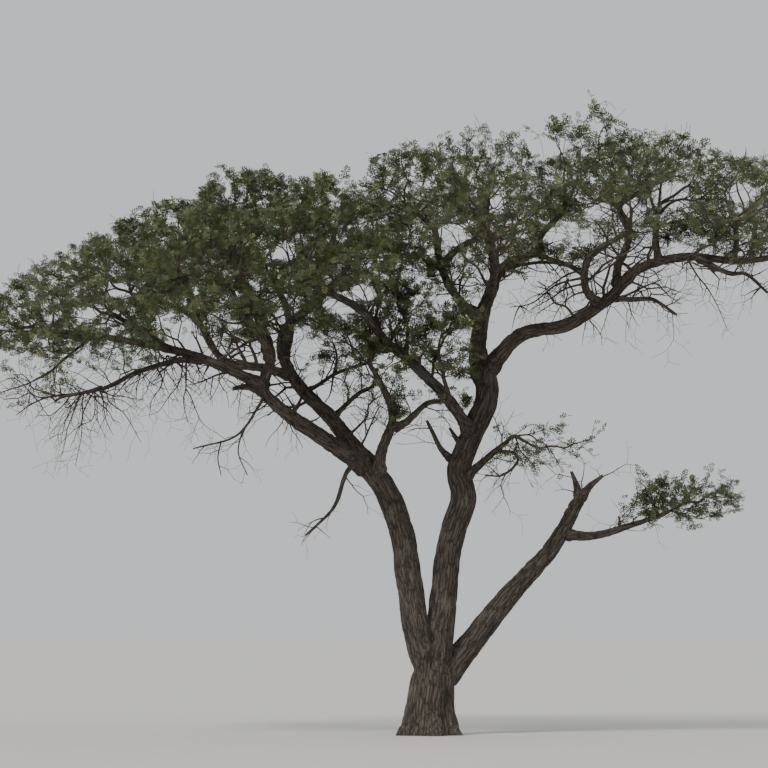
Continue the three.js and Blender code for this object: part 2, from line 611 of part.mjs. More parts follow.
// Twigs thicken with the number of twig ends they carry.
function twigSolids(growth) {
  const { nodes, stout } = growth;
  const load = nodes.map(() => 0);
  const children = nodes.map(() => []);
  nodes.forEach((node, i) => {
    if (node.from >= 0) {
      children[node.from].push(i);
    }
  });
  for (let i = nodes.length - 1; i >= 0; i -= 1) {
    load[i] += children[i].length ? 0 : 1;
    if (i > 0) {
      load[nodes[i].from] += load[i];
    }
  }
  const thick = (i) => Math.min(stout, TWIG_TIP_RADIUS * load[i] ** TWIG_THICKENING);
  const solids = [];
  const run = (from, first) => {
    const path = [from, first];
    let at = first;
    while (children[at].length) {
      const [heir, ...others] = [...children[at]].sort((a, b) => load[b] - load[a]);
      others.forEach((other) => run(at, other));
      path.push(heir);
      at = heir;
    }
    const points = path.map((i) => nodes[i].at);
    const radii = path.map((i, n) => (n === 0 ? thick(first) : thick(i)));
    const sides = from === 0 ? MASS_STEM_SIDES : TWIG_SIDES;
    solids.push(skin(ringsAlong(points, radii, sides, round)));
  };
  children[0].forEach((first) => run(0, first));
  return solids;
}

// Every mass starts its stem first, so that no other mass closes its way.
function growMasses() {
  const limbs = new Map(LIMBS.map((row) => [row.name, course(row)]));
  const limbStretches = LIMBS.flatMap((row) => [row, ...(row.forks ?? [])].flatMap((limb) => {
    const { points, radii } = course(limb);
    return stretches(points, radii);
  }));
  const growths = MASSES.map((mass) => startMass(mass, limbs));
  const taken = growths.map((growth) => {
    const line = growth.nodes.map((node) => node.at);
    return stretches(line, line.map(() => growth.stout));
  });
  growths.forEach((growth, n) => {
    const rand = seeded(1000 + 17 * n);
    const blocks = [
      { of: limbStretches, clearance: LIMB_CLEARANCE },
      { of: taken.flatMap((pieces, other) => (other === n ? [] : pieces)), clearance: MASS_CLEARANCE },
    ];
    const start = growth.nodes[0].at;
    const ends = chooseEnds(growth.mass, rand, limbStretches);
    ends.sort((a, b) => a.distanceTo(start) - b.distanceTo(start));
    for (const end of ends) {
      const line = growTwig(growth, end, rand, blocks);
      if (line) {
        taken[n].push(...stretches(line, line.map(() => TWIG_TIP_RADIUS)));
        dressTwig(growth, line, rand, blocks);
      }
    }
    hangTwigs(growth, rand, blocks);
    if (growth.mass.sprig) {
      addSprig(growth);
    }
    taken[n].push(...growth.edges);
  });
  return growths.map((growth) => {
    const parts = [...twigSolids(growth), ...growth.leaves.map(leafSolid)];
    return { name: growth.mass.name, solid: largestBody(parts.reduce((whole, part) => whole.add(part))) };
  });
}

function meshOf({ name, solid }, finish) {
  const { vertProperties, triVerts } = solid.getMesh();
  let geometry = new THREE.BufferGeometry();
  geometry.setAttribute("position", new THREE.BufferAttribute(vertProperties, 3));
  geometry.setIndex(new THREE.BufferAttribute(triVerts, 1));
  geometry = mergeVertices(geometry, 1e-4);
  const mesh = new THREE.Mesh(geometry, new THREE.MeshStandardMaterial(finish));
  mesh.name = name;
  return mesh;
}

const tree = new THREE.Group();
tree.name = "acacia_tree";
for (const limb of growLimbs()) {
  tree.add(meshOf(limb, BARK));
}
for (const mass of growMasses()) {
  tree.add(meshOf(mass, FOLIAGE));
}

export default tree;
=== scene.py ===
"""An old flat-topped acacia tree: bark, twigs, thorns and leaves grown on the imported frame. Metres, +Z up."""

import json
import math

import bmesh
import bpy
import numpy as np
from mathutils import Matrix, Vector

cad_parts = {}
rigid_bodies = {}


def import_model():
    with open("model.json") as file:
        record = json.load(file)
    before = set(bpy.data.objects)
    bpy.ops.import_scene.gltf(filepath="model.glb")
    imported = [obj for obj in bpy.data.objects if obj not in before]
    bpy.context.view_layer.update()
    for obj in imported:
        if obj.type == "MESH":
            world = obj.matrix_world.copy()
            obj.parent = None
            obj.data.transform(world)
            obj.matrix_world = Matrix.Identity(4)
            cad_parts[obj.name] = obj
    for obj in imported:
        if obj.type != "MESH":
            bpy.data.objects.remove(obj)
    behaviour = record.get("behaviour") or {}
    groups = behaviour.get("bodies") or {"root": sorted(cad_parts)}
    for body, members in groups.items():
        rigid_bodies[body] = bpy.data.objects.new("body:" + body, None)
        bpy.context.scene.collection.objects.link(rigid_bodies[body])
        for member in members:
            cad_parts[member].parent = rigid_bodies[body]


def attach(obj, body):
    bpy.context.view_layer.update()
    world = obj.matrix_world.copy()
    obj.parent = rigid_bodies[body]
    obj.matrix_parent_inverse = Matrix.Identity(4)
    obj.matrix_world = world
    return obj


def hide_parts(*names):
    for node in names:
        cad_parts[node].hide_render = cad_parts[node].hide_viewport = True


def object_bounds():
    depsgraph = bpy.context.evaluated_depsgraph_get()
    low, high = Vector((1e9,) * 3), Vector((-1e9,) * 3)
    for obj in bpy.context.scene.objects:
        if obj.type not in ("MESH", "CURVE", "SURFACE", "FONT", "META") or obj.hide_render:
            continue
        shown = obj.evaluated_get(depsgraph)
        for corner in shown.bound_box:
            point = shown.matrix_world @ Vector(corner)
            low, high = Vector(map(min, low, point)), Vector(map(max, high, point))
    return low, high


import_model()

bl_info = {
    "name": "Acacia Tree",
    "version": (1, 0, 0),
    "blender": (4, 5, 0),
    "location": "View3D > Sidebar > Acacia",
    "description": "Grows an old flat-topped acacia tree on its packed frame",
    "category": "Add Mesh",
}

CAD_BOX = [list(corner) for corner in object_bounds()]
ROOT_BODY = "root"

# Limbs of the frame: name, radius at each end, guide points, and forks as (radius at each end, guide points)
LIMBS = [
    ("trunk", (0.44, 0.40), [(0, 0, 0), (0.02, 0, 0.52), (0.07, 0, 1.05), (0.13, 0, 1.52)], []),
    ("left_stem", (0.27, 0.215), [(0.02, -0.05, 1.0), (-0.21, -0.1, 1.96), (-0.35, -0.1, 2.9),
     (-0.43, -0.1, 3.62), (-0.84, -0.1, 4.66), (-1.18, -0.1, 5.11)], []),
    ("right_stem", (0.28, 0.205), [(0.17, 0.05, 1.0), (0.22, 0.05, 2.1), (0.44, 0.05, 3.6),
     (0.64, 0.05, 4.43), (0.59, 0.05, 5.0), (0.93, 0, 5.88), (1.12, 0, 6.35), (1.06, 0, 6.98)],
     [((0.075, 0.03), [(0.56, 0.05, 5.08), (0.23, -0.05, 5.4), (0.11, -0.1, 5.64), (-0.02, -0.15, 5.9)]),
      ((0.06, 0.03), [(0.74, 0.04, 5.5), (0.56, -0.04, 5.56), (0.42, -0.06, 5.76)])]),
    ("broken_stem", (0.27, 0.12), [(0.19, 0.12, 0.78), (0.52, 0.25, 1.37), (1.44, 0.45, 2.5),
     (2.33, 0.5, 3.5), (2.86, 0.5, 4.4), (2.96, 0.5, 4.56)],
     [((0.09, 0.035), [(2.88, 0.5, 4.43), (3.13, 0.5, 4.74), (3.32, 0.48, 4.89)]),
      ((0.09, 0.03), [(2.9, 0.5, 4.42), (2.84, 0.5, 4.72), (2.75, 0.5, 4.96)])]),
    ("left_low_bough", (0.175, 0.06), [(-1.03, -0.1, 4.96), (-1.95, -0.3, 5.55), (-2.87, -0.4, 6.19),
     (-3.12, -0.4, 6.49), (-2.96, -0.6, 7.13), (-3.24, -1.0, 7.88), (-3.51, -1.3, 8.39)],
     [((0.11, 0.045), [(-3.06, -0.4, 6.43), (-3.4, -0.45, 6.53), (-3.64, -0.5, 6.5)])]),
    ("left_high_bough", (0.17, 0.06), [(-1.04, -0.05, 4.94), (-1.86, 0.15, 5.98), (-2.61, 0.3, 6.83),
     (-2.77, 0.35, 7.6), (-2.1, 0.25, 8.24), (-1.62, 0.2, 8.77)],
     [((0.065, 0.035), [(-1.83, 0.14, 5.95), (-1.6, 0.2, 6.2), (-1.31, 0.3, 6.47), (-1.05, 0.35, 6.62),
      (-0.97, 0.3, 6.95)]),
      ((0.05, 0.03), [(-2.35, 0.25, 6.5), (-2.1, 0.3, 6.62), (-1.78, 0.4, 6.84), (-1.41, 0.5, 6.99),
      (-1.12, 0.5, 7.08)])]),
    ("left_long_bough", (0.105, 0.05), [(-3.09, -0.4, 6.56), (-3.71, -0.7, 6.82), (-4.48, -0.7, 7.12),
     (-5.71, -0.5, 7.41), (-7.02, -0.3, 7.6)], []),
    ("left_rising_bough", (0.095, 0.05), [(-2.57, 0.3, 6.78), (-3.06, 0.5, 6.96), (-3.92, 0.8, 7.14),
     (-4.37, 1.0, 7.84), (-4.64, 1.2, 8.64)], []),
    ("left_drooping_bough", (0.065, 0.03), [(-4.2, -0.7, 7.0), (-4.7, -0.93, 6.99), (-5.05, -1.06, 6.88),
     (-5.53, -1.3, 6.68), (-5.94, -1.55, 6.44), (-6.6, -1.88, 6.26)], []),
    ("inner_bough", (0.12, 0.05), [(-0.96, -0.15, 4.8), (-0.89, -0.45, 5.28), (-0.67, -0.75, 5.94),
     (-0.89, -1.0, 6.54), (-1.02, -1.1, 6.77)], []),
    ("inner_spur", (0.08, 0.045), [(-0.69, -0.65, 5.74), (-0.46, -0.8, 5.82), (-0.03, -1.0, 6.18),
     (0.23, -1.1, 6.21)], []),
    ("crossing_bough", (0.125, 0.055), [(0.87, 0, 5.61), (0.39, -0.6, 6.25), (-0.2, -1.0, 6.84),
     (-0.8, -1.35, 7.31), (-1.24, -1.9, 7.81), (-2.17, -3.0, 8.19)], []),
    ("centre_bough", (0.19, 0.06), [(1.08, 0, 6.6), (0.96, 0.11, 7.3), (1.07, 0.2, 8.03), (1.3, 0.2, 8.77),
     (1.09, 0.2, 9.7), (1.13, 0.2, 10.01)], []),
    ("centre_right_bough", (0.095, 0.05), [(1.3, 0.2, 8.67), (1.51, 0.1, 8.93), (2.06, -0.3, 9.13),
     (2.13, -0.4, 9.4), (2.47, -0.6, 9.75)], []),
    ("centre_left_bough", (0.1, 0.05), [(1.05, 0.18, 7.8), (0.51, -0.3, 8.29), (0.2, -0.6, 8.9),
     (0.12, -0.75, 9.46), (-0.09, -0.8, 9.66)], []),
    ("back_centre_bough", (0.075, 0.05), [(0.24, -0.56, 8.81), (0.47, -0.2, 9.1), (0.97, 1.1, 9.57),
     (1.13, 2.0, 9.91)], []),
    ("right_long_bough", (0.155, 0.05), [(1.06, 0, 6.79), (1.74, -0.2, 7.53), (2.64, -0.3, 7.73),
     (3.44, -0.3, 8.24), (3.93, -0.3, 8.75), (4.85, -0.3, 9.01), (6.0, -0.2, 8.95), (7.01, 0, 9.13)], []),
    ("right_spur", (0.06, 0.025), [(3.47, -0.3, 8.22), (3.83, -0.6, 8.17), (4.19, -0.8, 8.15),
     (4.63, -1.0, 7.84)], []),
    ("right_fork_bough", (0.085, 0.05), [(3.28, -0.3, 8.09), (2.96, -0.7, 8.35), (2.97, -1.1, 8.86),
     (3.58, -2.0, 9.23)], []),
    ("right_second_bough", (0.09, 0.05), [(3.57, -0.3, 8.43), (3.61, 0, 8.84), (3.87, 0.4, 9.52),
     (3.7, 0.6, 10.08), (4.04, 0.8, 10.38)], []),
    ("right_rising_bough", (0.075, 0.045), [(4.38, -0.3, 8.9), (4.32, -0.15, 9.35), (4.39, 0, 9.89)], []),
    ("right_drooping_bough", (0.065, 0.025), [(5.08, -0.3, 8.99), (5.68, -0.8, 8.63), (5.92, -0.9, 8.62),
     (6.32, -1.1, 8.24)], []),
    ("right_low_bough", (0.09, 0.045), [(0.59, 0.03, 4.74), (1.11, -0.2, 5.2), (1.3, -0.3, 5.36),
     (1.49, -0.4, 5.51)], []),
    ("broken_stem_bough", (0.1, 0.045), [(2.54, 0.5, 3.8), (2.92, 0.5, 3.76), (3.27, 0.55, 3.78),
     (4.3, 0.7, 4.1)], []),
    ("dead_limb", (0.055, 0.02), [(-1.29, -0.2, 5.18), (-1.53, -0.38, 4.93), (-1.78, -0.5, 4.26),
     (-2.29, -0.5, 3.75)], []),
    ("dead_twig_bough", (0.034, 0.014), [(-3.08, -0.4, 6.4), (-3.19, -0.62, 6.15), (-3.58, -0.7, 5.61),
     (-4.41, -0.7, 5.35)],
     [((0.018, 0.009), [(-3.47, -0.69, 5.74), (-3.56, -0.72, 5.29), (-3.39, -0.74, 4.86)]),
      ((0.016, 0.009), [(-3.88, -0.7, 5.5), (-3.94, -0.72, 5.18), (-3.88, -0.74, 4.86)])]),
    ("front_outer_left_bough", (0.07, 0.045), [(-4.9, -0.63, 7.22), (-5.14, -1.3, 7.39),
     (-5.72, -2.6, 7.66)], []),
    ("back_outer_left_bough", (0.07, 0.045), [(-4.39, 1.0, 7.88), (-4.79, 1.7, 8.22), (-5.8, 2.8, 8.64)],
     []),
    ("front_left_bough", (0.095, 0.05), [(-2.98, -0.57, 7.04), (-3.1, -1.4, 7.36), (-3.33, -2.1, 7.64),
     (-3.63, -3.2, 8.1)], []),
    ("back_left_bough", (0.1, 0.05), [(-2.77, 0.35, 7.16), (-2.66, 1.2, 7.72), (-2.76, 2.0, 8.29),
     (-2.95, 2.8, 8.78)], []),
    ("front_centre_bough", (0.09, 0.05), [(1.2, 0.2, 8.35), (1.22, -0.9, 8.58), (1.22, -1.9, 8.76),
     (1.12, -2.8, 8.92)], []),
    ("back_right_bough", (0.075, 0.05), [(3.85, 0.37, 9.48), (3.91, 1.3, 9.87), (3.79, 2.8, 10.47)], []),
    ("front_outer_right_bough", (0.06, 0.045), [(5.79, -0.2, 8.97), (5.78, -0.8, 9.16),
     (5.62, -2.0, 9.45)], []),
    ("back_outer_right_bough", (0.06, 0.045), [(6.14, -0.18, 8.95), (6.25, 0.6, 9.3), (6.47, 1.9, 9.89)],
     []),
]
STEMS = ("trunk", "left_stem", "right_stem", "broken_stem")
CROTCH_BOUGHS = ("left_low_bough", "left_high_bough", "right_long_bough", "centre_bough")
LIVE_FORKS = ("left_high_bough",)

# Slim boughs that grow on from the limbs: radius at each end, guide points
SLIM_BOUGHS = [
    ((0.035, 0.018), [(-1.78, 0.4, 6.84), (-1.74, 0.35, 7.19), (-1.8, 0.3, 7.43)]),
    ((0.02, 0.008), [(-1.8, 0.39, 6.82), (-1.88, 0.35, 6.42), (-1.97, 0.3, 6.3)]),
    ((0.03, 0.014), [(-1.6, 0.08, 5.6), (-1.4, -0.05, 5.74), (-1.16, -0.2, 6.0), (-1.12, -0.3, 6.2),
     (-0.93, -0.35, 6.36)]),
    ((0.028, 0.012), [(-1.36, 0, 5.35), (-1.24, -0.15, 5.5), (-1.04, -0.3, 5.93), (-0.95, -0.35, 6.13)]),
    ((0.03, 0.008), [(-6.03, -1.62, 6.44), (-6.46, -1.5, 6.33), (-7.03, -1.4, 6.27), (-7.37, -1.3, 6.14),
     (-7.65, -1.3, 5.94)]),
    ((0.035, 0.01), [(-6.35, -0.42, 7.48), (-6.87, -0.6, 7.02), (-7.09, -0.8, 6.79), (-7.47, -0.95, 6.56),
     (-7.95, -1.1, 6.38)]),
    ((0.015, 0.005), [(-6.16, -1.68, 6.39), (-6.38, -1.6, 5.95), (-6.41, -1.6, 5.53),
     (-6.52, -1.55, 4.99)]),
    ((0.013, 0.004), [(-6.16, -1.68, 6.39), (-6.19, -1.75, 5.84), (-6.45, -1.8, 5.69),
     (-6.77, -1.85, 5.38)]),
    ((0.015, 0.005), [(-5.07, -1.07, 6.85), (-4.96, -1.1, 6.61), (-5.0, -1.1, 6.46), (-5.15, -1.1, 6.24),
     (-5.2, -1.1, 5.92)]),
    ((0.026, 0.008), [(-3.72, -0.7, 6.8), (-3.98, -0.8, 6.72), (-4.26, -0.85, 6.59), (-4.49, -0.9, 6.53)]),
    ((0.02, 0.005), [(-4.55, -0.7, 7.1), (-4.54, -0.85, 6.48), (-4.58, -0.9, 6.25), (-4.49, -0.95, 5.82)]),
    ((0.012, 0.004), [(-4.54, -0.85, 6.47), (-4.45, -0.9, 6.32), (-4.22, -0.95, 5.82),
     (-3.94, -1.0, 5.61)]),
    ((0.016, 0.005), [(-4.6, -0.72, 7.08), (-4.66, -0.75, 6.61), (-4.88, -0.8, 6.29),
     (-5.05, -0.85, 6.04), (-5.2, -0.85, 5.97)]),
    ((0.012, 0.004), [(-5.88, -0.5, 7.42), (-6.04, -0.6, 6.93), (-6.12, -0.62, 6.62)]),
    ((0.03, 0.012), [(3.6, -0.42, 8.2), (4.05, -0.8, 8.39), (4.37, -0.85, 8.52)]),
    ((0.018, 0.006), [(4.2, -0.82, 8.45), (4.3, -0.87, 8.42), (4.45, -0.9, 8.25), (4.69, -1.0, 8.05)]),
    ((0.022, 0.005), [(4.9, -0.33, 8.98), (5.05, -0.6, 8.64), (5.25, -0.65, 8.37), (5.4, -0.65, 8.11),
     (5.61, -0.6, 7.62)]),
    ((0.028, 0.008), [(2.95, -0.9, 8.56), (2.39, -1.0, 8.4), (1.91, -1.1, 8.04), (1.5, -1.1, 7.97)]),
    ((0.055, 0.035), [(2.95, -0.9, 8.6), (2.61, -0.8, 8.8), (2.41, -0.6, 8.9), (2.0, -0.25, 9.06)]),
    ((0.035, 0.02), [(1.29, 0.15, 8.66), (1.46, 0, 8.78), (1.88, -0.35, 8.88), (2.36, -0.65, 8.85),
     (2.94, -0.85, 8.66)]),
    ((0.026, 0.008), [(2.95, -0.85, 8.72), (2.6, -0.95, 8.6), (2.32, -1.0, 8.41), (2.02, -1.05, 8.17)]),
    ((0.035, 0.015), [(4.39, 0, 9.85), (4.26, -0.1, 10.1), (4.2, -0.15, 10.5)]),
    ((0.035, 0.012), [(4.39, 0, 9.87), (4.62, -0.2, 10.06), (4.8, -0.25, 10.12), (5.1, -0.3, 10.1),
     (5.5, -0.4, 10.4)]),
    ((0.03, 0.012), [(4.36, -0.05, 9.62), (4.7, -0.2, 9.7), (5.1, -0.35, 9.76), (5.6, -0.5, 9.95)]),
    ((0.035, 0.014), [(1.25, -0.28, 5.33), (1.62, -0.42, 5.29), (1.68, -0.5, 5.15), (1.5, -0.55, 4.93),
     (1.34, -0.55, 4.85), (1.05, -0.55, 4.87)]),
    ((0.024, 0.006), [(2.96, -0.75, 8.46), (2.6, -0.8, 8.36), (2.25, -0.85, 8.14), (1.9, -0.9, 7.94)]),
    ((0.02, 0.006), [(2.98, -0.7, 8.32), (2.7, -0.8, 8.22), (2.45, -0.9, 7.98), (2.3, -0.95, 7.7)]),
    ((0.04, 0.014), [(-0.45, -1.15, 7.02), (-0.4, -1.2, 7.6), (-0.62, -1.25, 8.15), (-0.5, -1.3, 8.75)]),
    ((0.03, 0.02), [(3.66, 0.6, 3.9), (3.67, 0.6, 4.05), (3.64, 0.6, 4.14)]),
]

# Sprigs that stand out of the crown: the mass each grows from, guide points
SPRIGS = [
    ("centre_right_foliage", [(3.15, -0.85, 11.46), (3.12, -0.85, 11.78), (3.04, -0.85, 12.07)]),
    ("centre_right_foliage", [(3.12, -0.85, 11.78), (3.36, -0.85, 11.9), (3.53, -0.85, 11.74)]),
]

# Dense and airy leafy tufts in the inner crown: middle, radius, leafiness
TUFTS = [
    ((0.51, -0.9, 7.78), 0.17, 0.6), ((-0.5, -1.0, 8.2), 0.14, 0.6), ((-1.97, 0.1, 7.15), 0.1, 0.6),
    ((0.08, -1.1, 7.05), 0.11, 0.6), ((-0.68, -0.8, 6.24), 0.14, 0.9), ((-0.56, -0.8, 6.0), 0.13, 0.9),
    ((0.74, -0.25, 6.28), 0.09, 0.9), ((-3.5, -0.45, 7.57), 0.1, 0.6), ((-1.2, -1.35, 7.5), 0.27, 0.6),
    ((-0.95, -1.3, 7.25), 0.22, 0.6), ((0.35, -1.1, 6.94), 0.1, 0.6), ((-3.7, -0.4, 7.42), 0.1, 0.6),
    ((-3.36, -0.5, 7.46), 0.08, 0.6), ((-3.85, -0.45, 7.6), 0.08, 0.6), ((2.56, -0.7, 9.85), 0.24, 0.6),
    ((3.97, 0.35, 9.5), 0.14, 0.5), ((2.13, -0.6, 9.13), 0.32, 0.35), ((1.65, -0.5, 8.99), 0.28, 0.35),
    ((2.79, -0.8, 8.99), 0.28, 0.35), ((4.98, -0.3, 9.5), 0.32, 0.25), ((5.45, -0.35, 9.41), 0.28, 0.25),
    ((4.56, -0.1, 9.41), 0.22, 0.2), ((-2.05, -0.6, 7.8), 0.28, 0.4), ((0.04, -0.9, 8.75), 0.25, 0.4),
    ((-0.82, -1.2, 9.13), 0.25, 0.5), ((0.7, -0.4, 6.79), 0.14, 0.5), ((0.04, -1.1, 7.6), 0.2, 0.5),
]

# Where long bare twigs hang: place, how many, and how far they drop
HANGING_SPOTS = [
    ((-6.35, -1.78, 6.32), 5, 1.2), ((-6.1, -1.64, 6.4), 4, 1.35), ((-5.35, -1.2, 6.75), 6, 0.8),
    ((-4.75, -0.95, 6.97), 5, 0.75), ((-5.05, -1.06, 6.87), 4, 0.8), ((-4.4, -0.8, 7.0), 4, 0.8),
    ((-4.7, -0.72, 7.1), 4, 1.0), ((-5.1, -0.6, 7.25), 3, 0.8), ((-7.3, -2.1, 6.3), 3, 0.8),
    ((-4.1, -0.7, 7.0), 3, 1.1), ((3.6, -0.45, 8.2), 3, 1.0), ((4.5, -0.95, 7.95), 2, 0.7),
    ((2.95, -0.35, 7.9), 3, 0.7), ((1.45, -0.4, 5.45), 3, 0.9), ((6.2, -1.05, 8.35), 3, 0.7),
    ((2.2, -0.25, 7.6), 2, 0.45), ((-2.1, -0.5, 3.9), 3, 0.45), ((-2.7, -0.4, 6.0), 3, 0.9),
    ((-6.2, -1.7, 6.36), 4, 1.4), ((-4.9, -0.75, 7.1), 4, 0.8), ((-3.4, -0.55, 6.65), 3, 0.8),
    ((2.2, -1.05, 8.25), 4, 0.5), ((2.6, -0.95, 8.45), 4, 0.5), ((1.7, -1.1, 8.0), 3, 0.4),
    ((4.0, -0.75, 8.3), 3, 0.6),
]

# The crown's upper edge as seen from the front: places across and up
SKYLINE = np.array([
    (-9, 8.2), (-8.13, 8.56), (-7.66, 8.75), (-7.18, 9.13), (-6.1, 9.6), (-5.09, 10.2), (-4.43, 10.17),
    (-4.05, 10.8), (-2.91, 10.89), (-1.96, 10.78), (-1.54, 10.99), (-0.76, 11.29), (0.04, 11.25),
    (0.5, 11.5), (2.19, 11.65), (2.57, 11.94), (3.08, 12.3), (3.5, 11.8), (3.9, 11.48), (5.04, 11.46),
    (5.42, 11.15), (6.46, 10.93), (8.5, 10.3),
])

# Open places in the crown as seen from the front: middle and reach, each across and up
OPENINGS = [
    ((4.64, 10.23), (0.36, 0.26)), ((3.93, 9.92), (0.25, 0.25)), ((3.27, 9.92), (0.28, 0.18)),
    ((1.31, 10.06), (0.2, 0.2)), ((0.47, 9.47), (0.28, 0.22)), ((2.32, 11.16), (0.36, 0.18)),
    ((5.99, 10.27), (0.32, 0.18)), ((2.41, 9.45), (0.2, 0.16)), ((3.08, 9.47), (0.16, 0.16)),
    ((-2.74, 9.13), (0.26, 0.16)), ((-1.67, 8.14), (0.3, 0.2)), ((-2.38, 7.32), (0.32, 0.26)),
    ((-1.24, 8.37), (0.26, 0.15)), ((-5.07, 7.76), (0.16, 0.11)), ((-5.85, 8.42), (0.36, 0.14)),
    ((-6.48, 7.93), (0.28, 0.12)),
]

# Masses of foliage: name, the bough each grows from, the middle and the reach of its space, and its leafiness
MASSES = [
    ("far_left_foliage", "left_long_bough", (-7.5, -0.1, 7.8), (1.45, 1.8, 1), 1),
    ("drooping_left_foliage", "left_drooping_bough", (-7.15, -2, 6.35), (0.9, 0.95, 0.46), 0.08),
    ("front_outer_left_foliage", "front_outer_left_bough", (-5.9, -2.9, 7.85), (1.6, 1.7, 1.15), 0.75),
    ("back_outer_left_foliage", "back_outer_left_bough", (-6, 3, 9.15), (1.6, 2, 1.05), 0.95),
    ("upper_left_foliage", "left_rising_bough", (-4.9, 0.7, 9), (1.6, 1.7, 1.35), 0.95),
    ("left_crown_foliage", "left_low_bough", (-3.45, -1.4, 9.4), (1.5, 1.6, 1.35), 1),
    ("front_left_foliage", "front_left_bough", (-3.9, -3.6, 8.35), (1.7, 1.6, 1.35), 0.85),
    ("back_left_foliage", "back_left_bough", (-3.2, 3.15, 9.85), (1.9, 2, 1.3), 1.05),
    ("left_top_foliage", "left_high_bough", (-1.5, 0.7, 9.5), (1.6, 1.8, 1.25), 1),
    ("front_crown_foliage", "crossing_bough", (-1.95, -3.5, 8.7), (1.7, 1.7, 1.25), 0.95),
    ("inner_foliage", "inner_bough", (-1.1, -0.9, 7.7), (1.6, 1.1, 1.15), 0.7),
    ("inner_right_foliage", "inner_spur", (0.1, -1.3, 7.3), (1.05, 1, 1.1), 0.6),
    ("centre_left_foliage", "centre_left_bough", (-0.35, -1.3, 9.55), (1.35, 1.6, 1.45), 0.72),
    ("centre_top_foliage", "centre_bough", (1.15, 0.4, 10.55), (1.4, 1.6, 1.05), 0.5),
    ("centre_right_foliage", "centre_right_bough", (2.85, -0.9, 10.55), (1.35, 1.5, 1.3), 0.62),
    ("back_centre_foliage", "back_centre_bough", (0.45, 3.1, 10.65), (2.05, 1.95, 1), 0.62),
    ("front_centre_foliage", "front_centre_bough", (1, -3.3, 9.4), (1.9, 1.8, 1.05), 0.6),
    ("right_top_foliage", "right_second_bough", (4.1, 0.9, 10.8), (1.35, 1.5, 0.9), 0.45),
    ("right_upper_foliage", "right_rising_bough", (5.1, -0.6, 10.45), (1.35, 1.35, 0.95), 0.42),
    ("front_right_foliage", "right_fork_bough", (3.65, -3, 9.65), (1.7, 1.7, 1), 0.52),
    ("back_right_foliage", "back_right_bough", (3.65, 3.2, 10.8), (1.9, 1.85, 1), 0.52),
    ("far_right_foliage", "right_long_bough", (7.25, 0, 10), (1.2, 1.6, 0.95), 0.48),
    ("front_outer_right_foliage", "front_outer_right_bough", (5.9, -2.5, 9.7), (1.6, 1.65, 0.9), 0.45),
    ("back_outer_right_foliage", "back_outer_right_bough", (6.25, 2.6, 10.45), (1.55, 1.7, 0.95), 0.46),
    ("low_right_foliage", "right_low_bough", (2.2, -0.55, 5.3), (1.05, 0.75, 0.64), 0.3),
    ("broken_stem_foliage", "broken_stem_bough", (4.95, 0.75, 4.4), (1.15, 0.85, 0.6), 0.8),
]

# Limbs and their bark
LINE_SAMPLES = 40
RING_STEP = 0.045
SIDE_STEP = 0.03
BOUGH_SIDES = (8, 34)
STEM_SIDES = 40
STRETCH_RINGS = 4
JOIN_REACH = 0.05
TRUNK_DEPTH_SHARE = 0.84
TRUNK_SUNK = 0.12
SUNK_LENGTH = 0.65
SUNK_SHRINK = 0.5
FLUTES = 5
FLUTE_SHARE = 0.06
FLUTE_FLARE = 0.4
FLUTE_TURN = 0.7
FLARE_SHARE = 0.36
FLARE_HEIGHT = 0.3
WANDER_BEAT = 1.7
WANDER_SHARE = 0.16
LUMP_BEAT = 2.2
LUMP_SHARE = 0.05
BROKEN_TEETH = (2.2, 0.6)
SKIN_VOXEL = 0.0215
SKIN_RELAX = (0.5, 8)
CROTCH_LENGTH = 1.5
CROTCH_BLEND = 0.25
CROTCH_SHRINK = 0.14
SEAM_BLEND = 0.022
SEAM_LEAST = 0.02
FORK_HEIGHT = 1.35
COLLAR_SHARE = 0.5
COLLAR_LENGTH = 1.1
PLATE_WIDTH = 0.066
PLATE_LENGTHENING = 0.12
PLATE_GROWTH = (0.2, 0.35, 1.1, 0.6)
PLATE_WARP = (0.5, 0.5, 0.35)
PLATE_HEIGHT = 1.6
ROUGH_HEIGHT = 0.35
FURROW_SHARE = 0.5
RELIEF_DEPTH = 0.013
RELIEF_SHARE = 0.09

# The pattern of the bark's finish
STRAND_SCALE = (60, 60, 9)
FURROW_SCALE = (17, 17, 2.4)
FURROW_BENDS = (1.1, 1.1, 0.8)
BEND_SCALE = 6.0
BLOTCH_SCALE = 2.3
SPECK_SCALE = 38.0
FURROW_FRAY = 0.12
FURROW_WIDTH = 0.17
LICHEN_EDGE = (0.62, 0.72)
LICHEN_SHARE = 0.3
TWIG_PATCH_SCALE = 14.0

# Masses of twigs
MASS_SEEDS = (1000, 17)
STEM_SUNK = 0.03
STEM_LEAD = 0.16
STEM_FORKS = (0.4, 0.75)
STEM_SHARE = 0.9
OWN_DEPTH = 0.94
CLUMPS_PER_MASS = 42
BARE_CLUMP_SHARE = 0.3
CLUMP_DEPTH = (0.25, 0.9)
LEAST_CLUMPS = 6
CLUMP_CLEARANCE = 0.1
ENDS_PER_CLUMP = 8
CLUMP_SIZE = (0.3, 0.3, 0.13)
SHOOTS = 14
SHOOT_LENGTH = (0.15, 0.42)
SHOOT_STEPS = 3
SHOOT_DEPTH = 0.62
SHOOT_SWAY = 0.2
EDGE_SWAY = 0.35
EDGE_STEP = (0.3, 1.2)
EDGE_SHOOTS = 14
EDGE_ROOM = (0.1, 0.55)
SPRIG_STEP = 0.09
TWIG_TIP_RADIUS = 0.0042
TWIG_THICKENING = 0.5
TWIG_STEP = 0.18
TWIG_WANDER = 0.032
TWIG_ARCH = 0.35
LEAST_TWIG = 0.03
STOUT_TWIG = 0.014
STOUT_TWIG_STEP = 0.075
THRIFT = 0.45
TRIES = 14
LIMB_CLEARANCE = 0.02

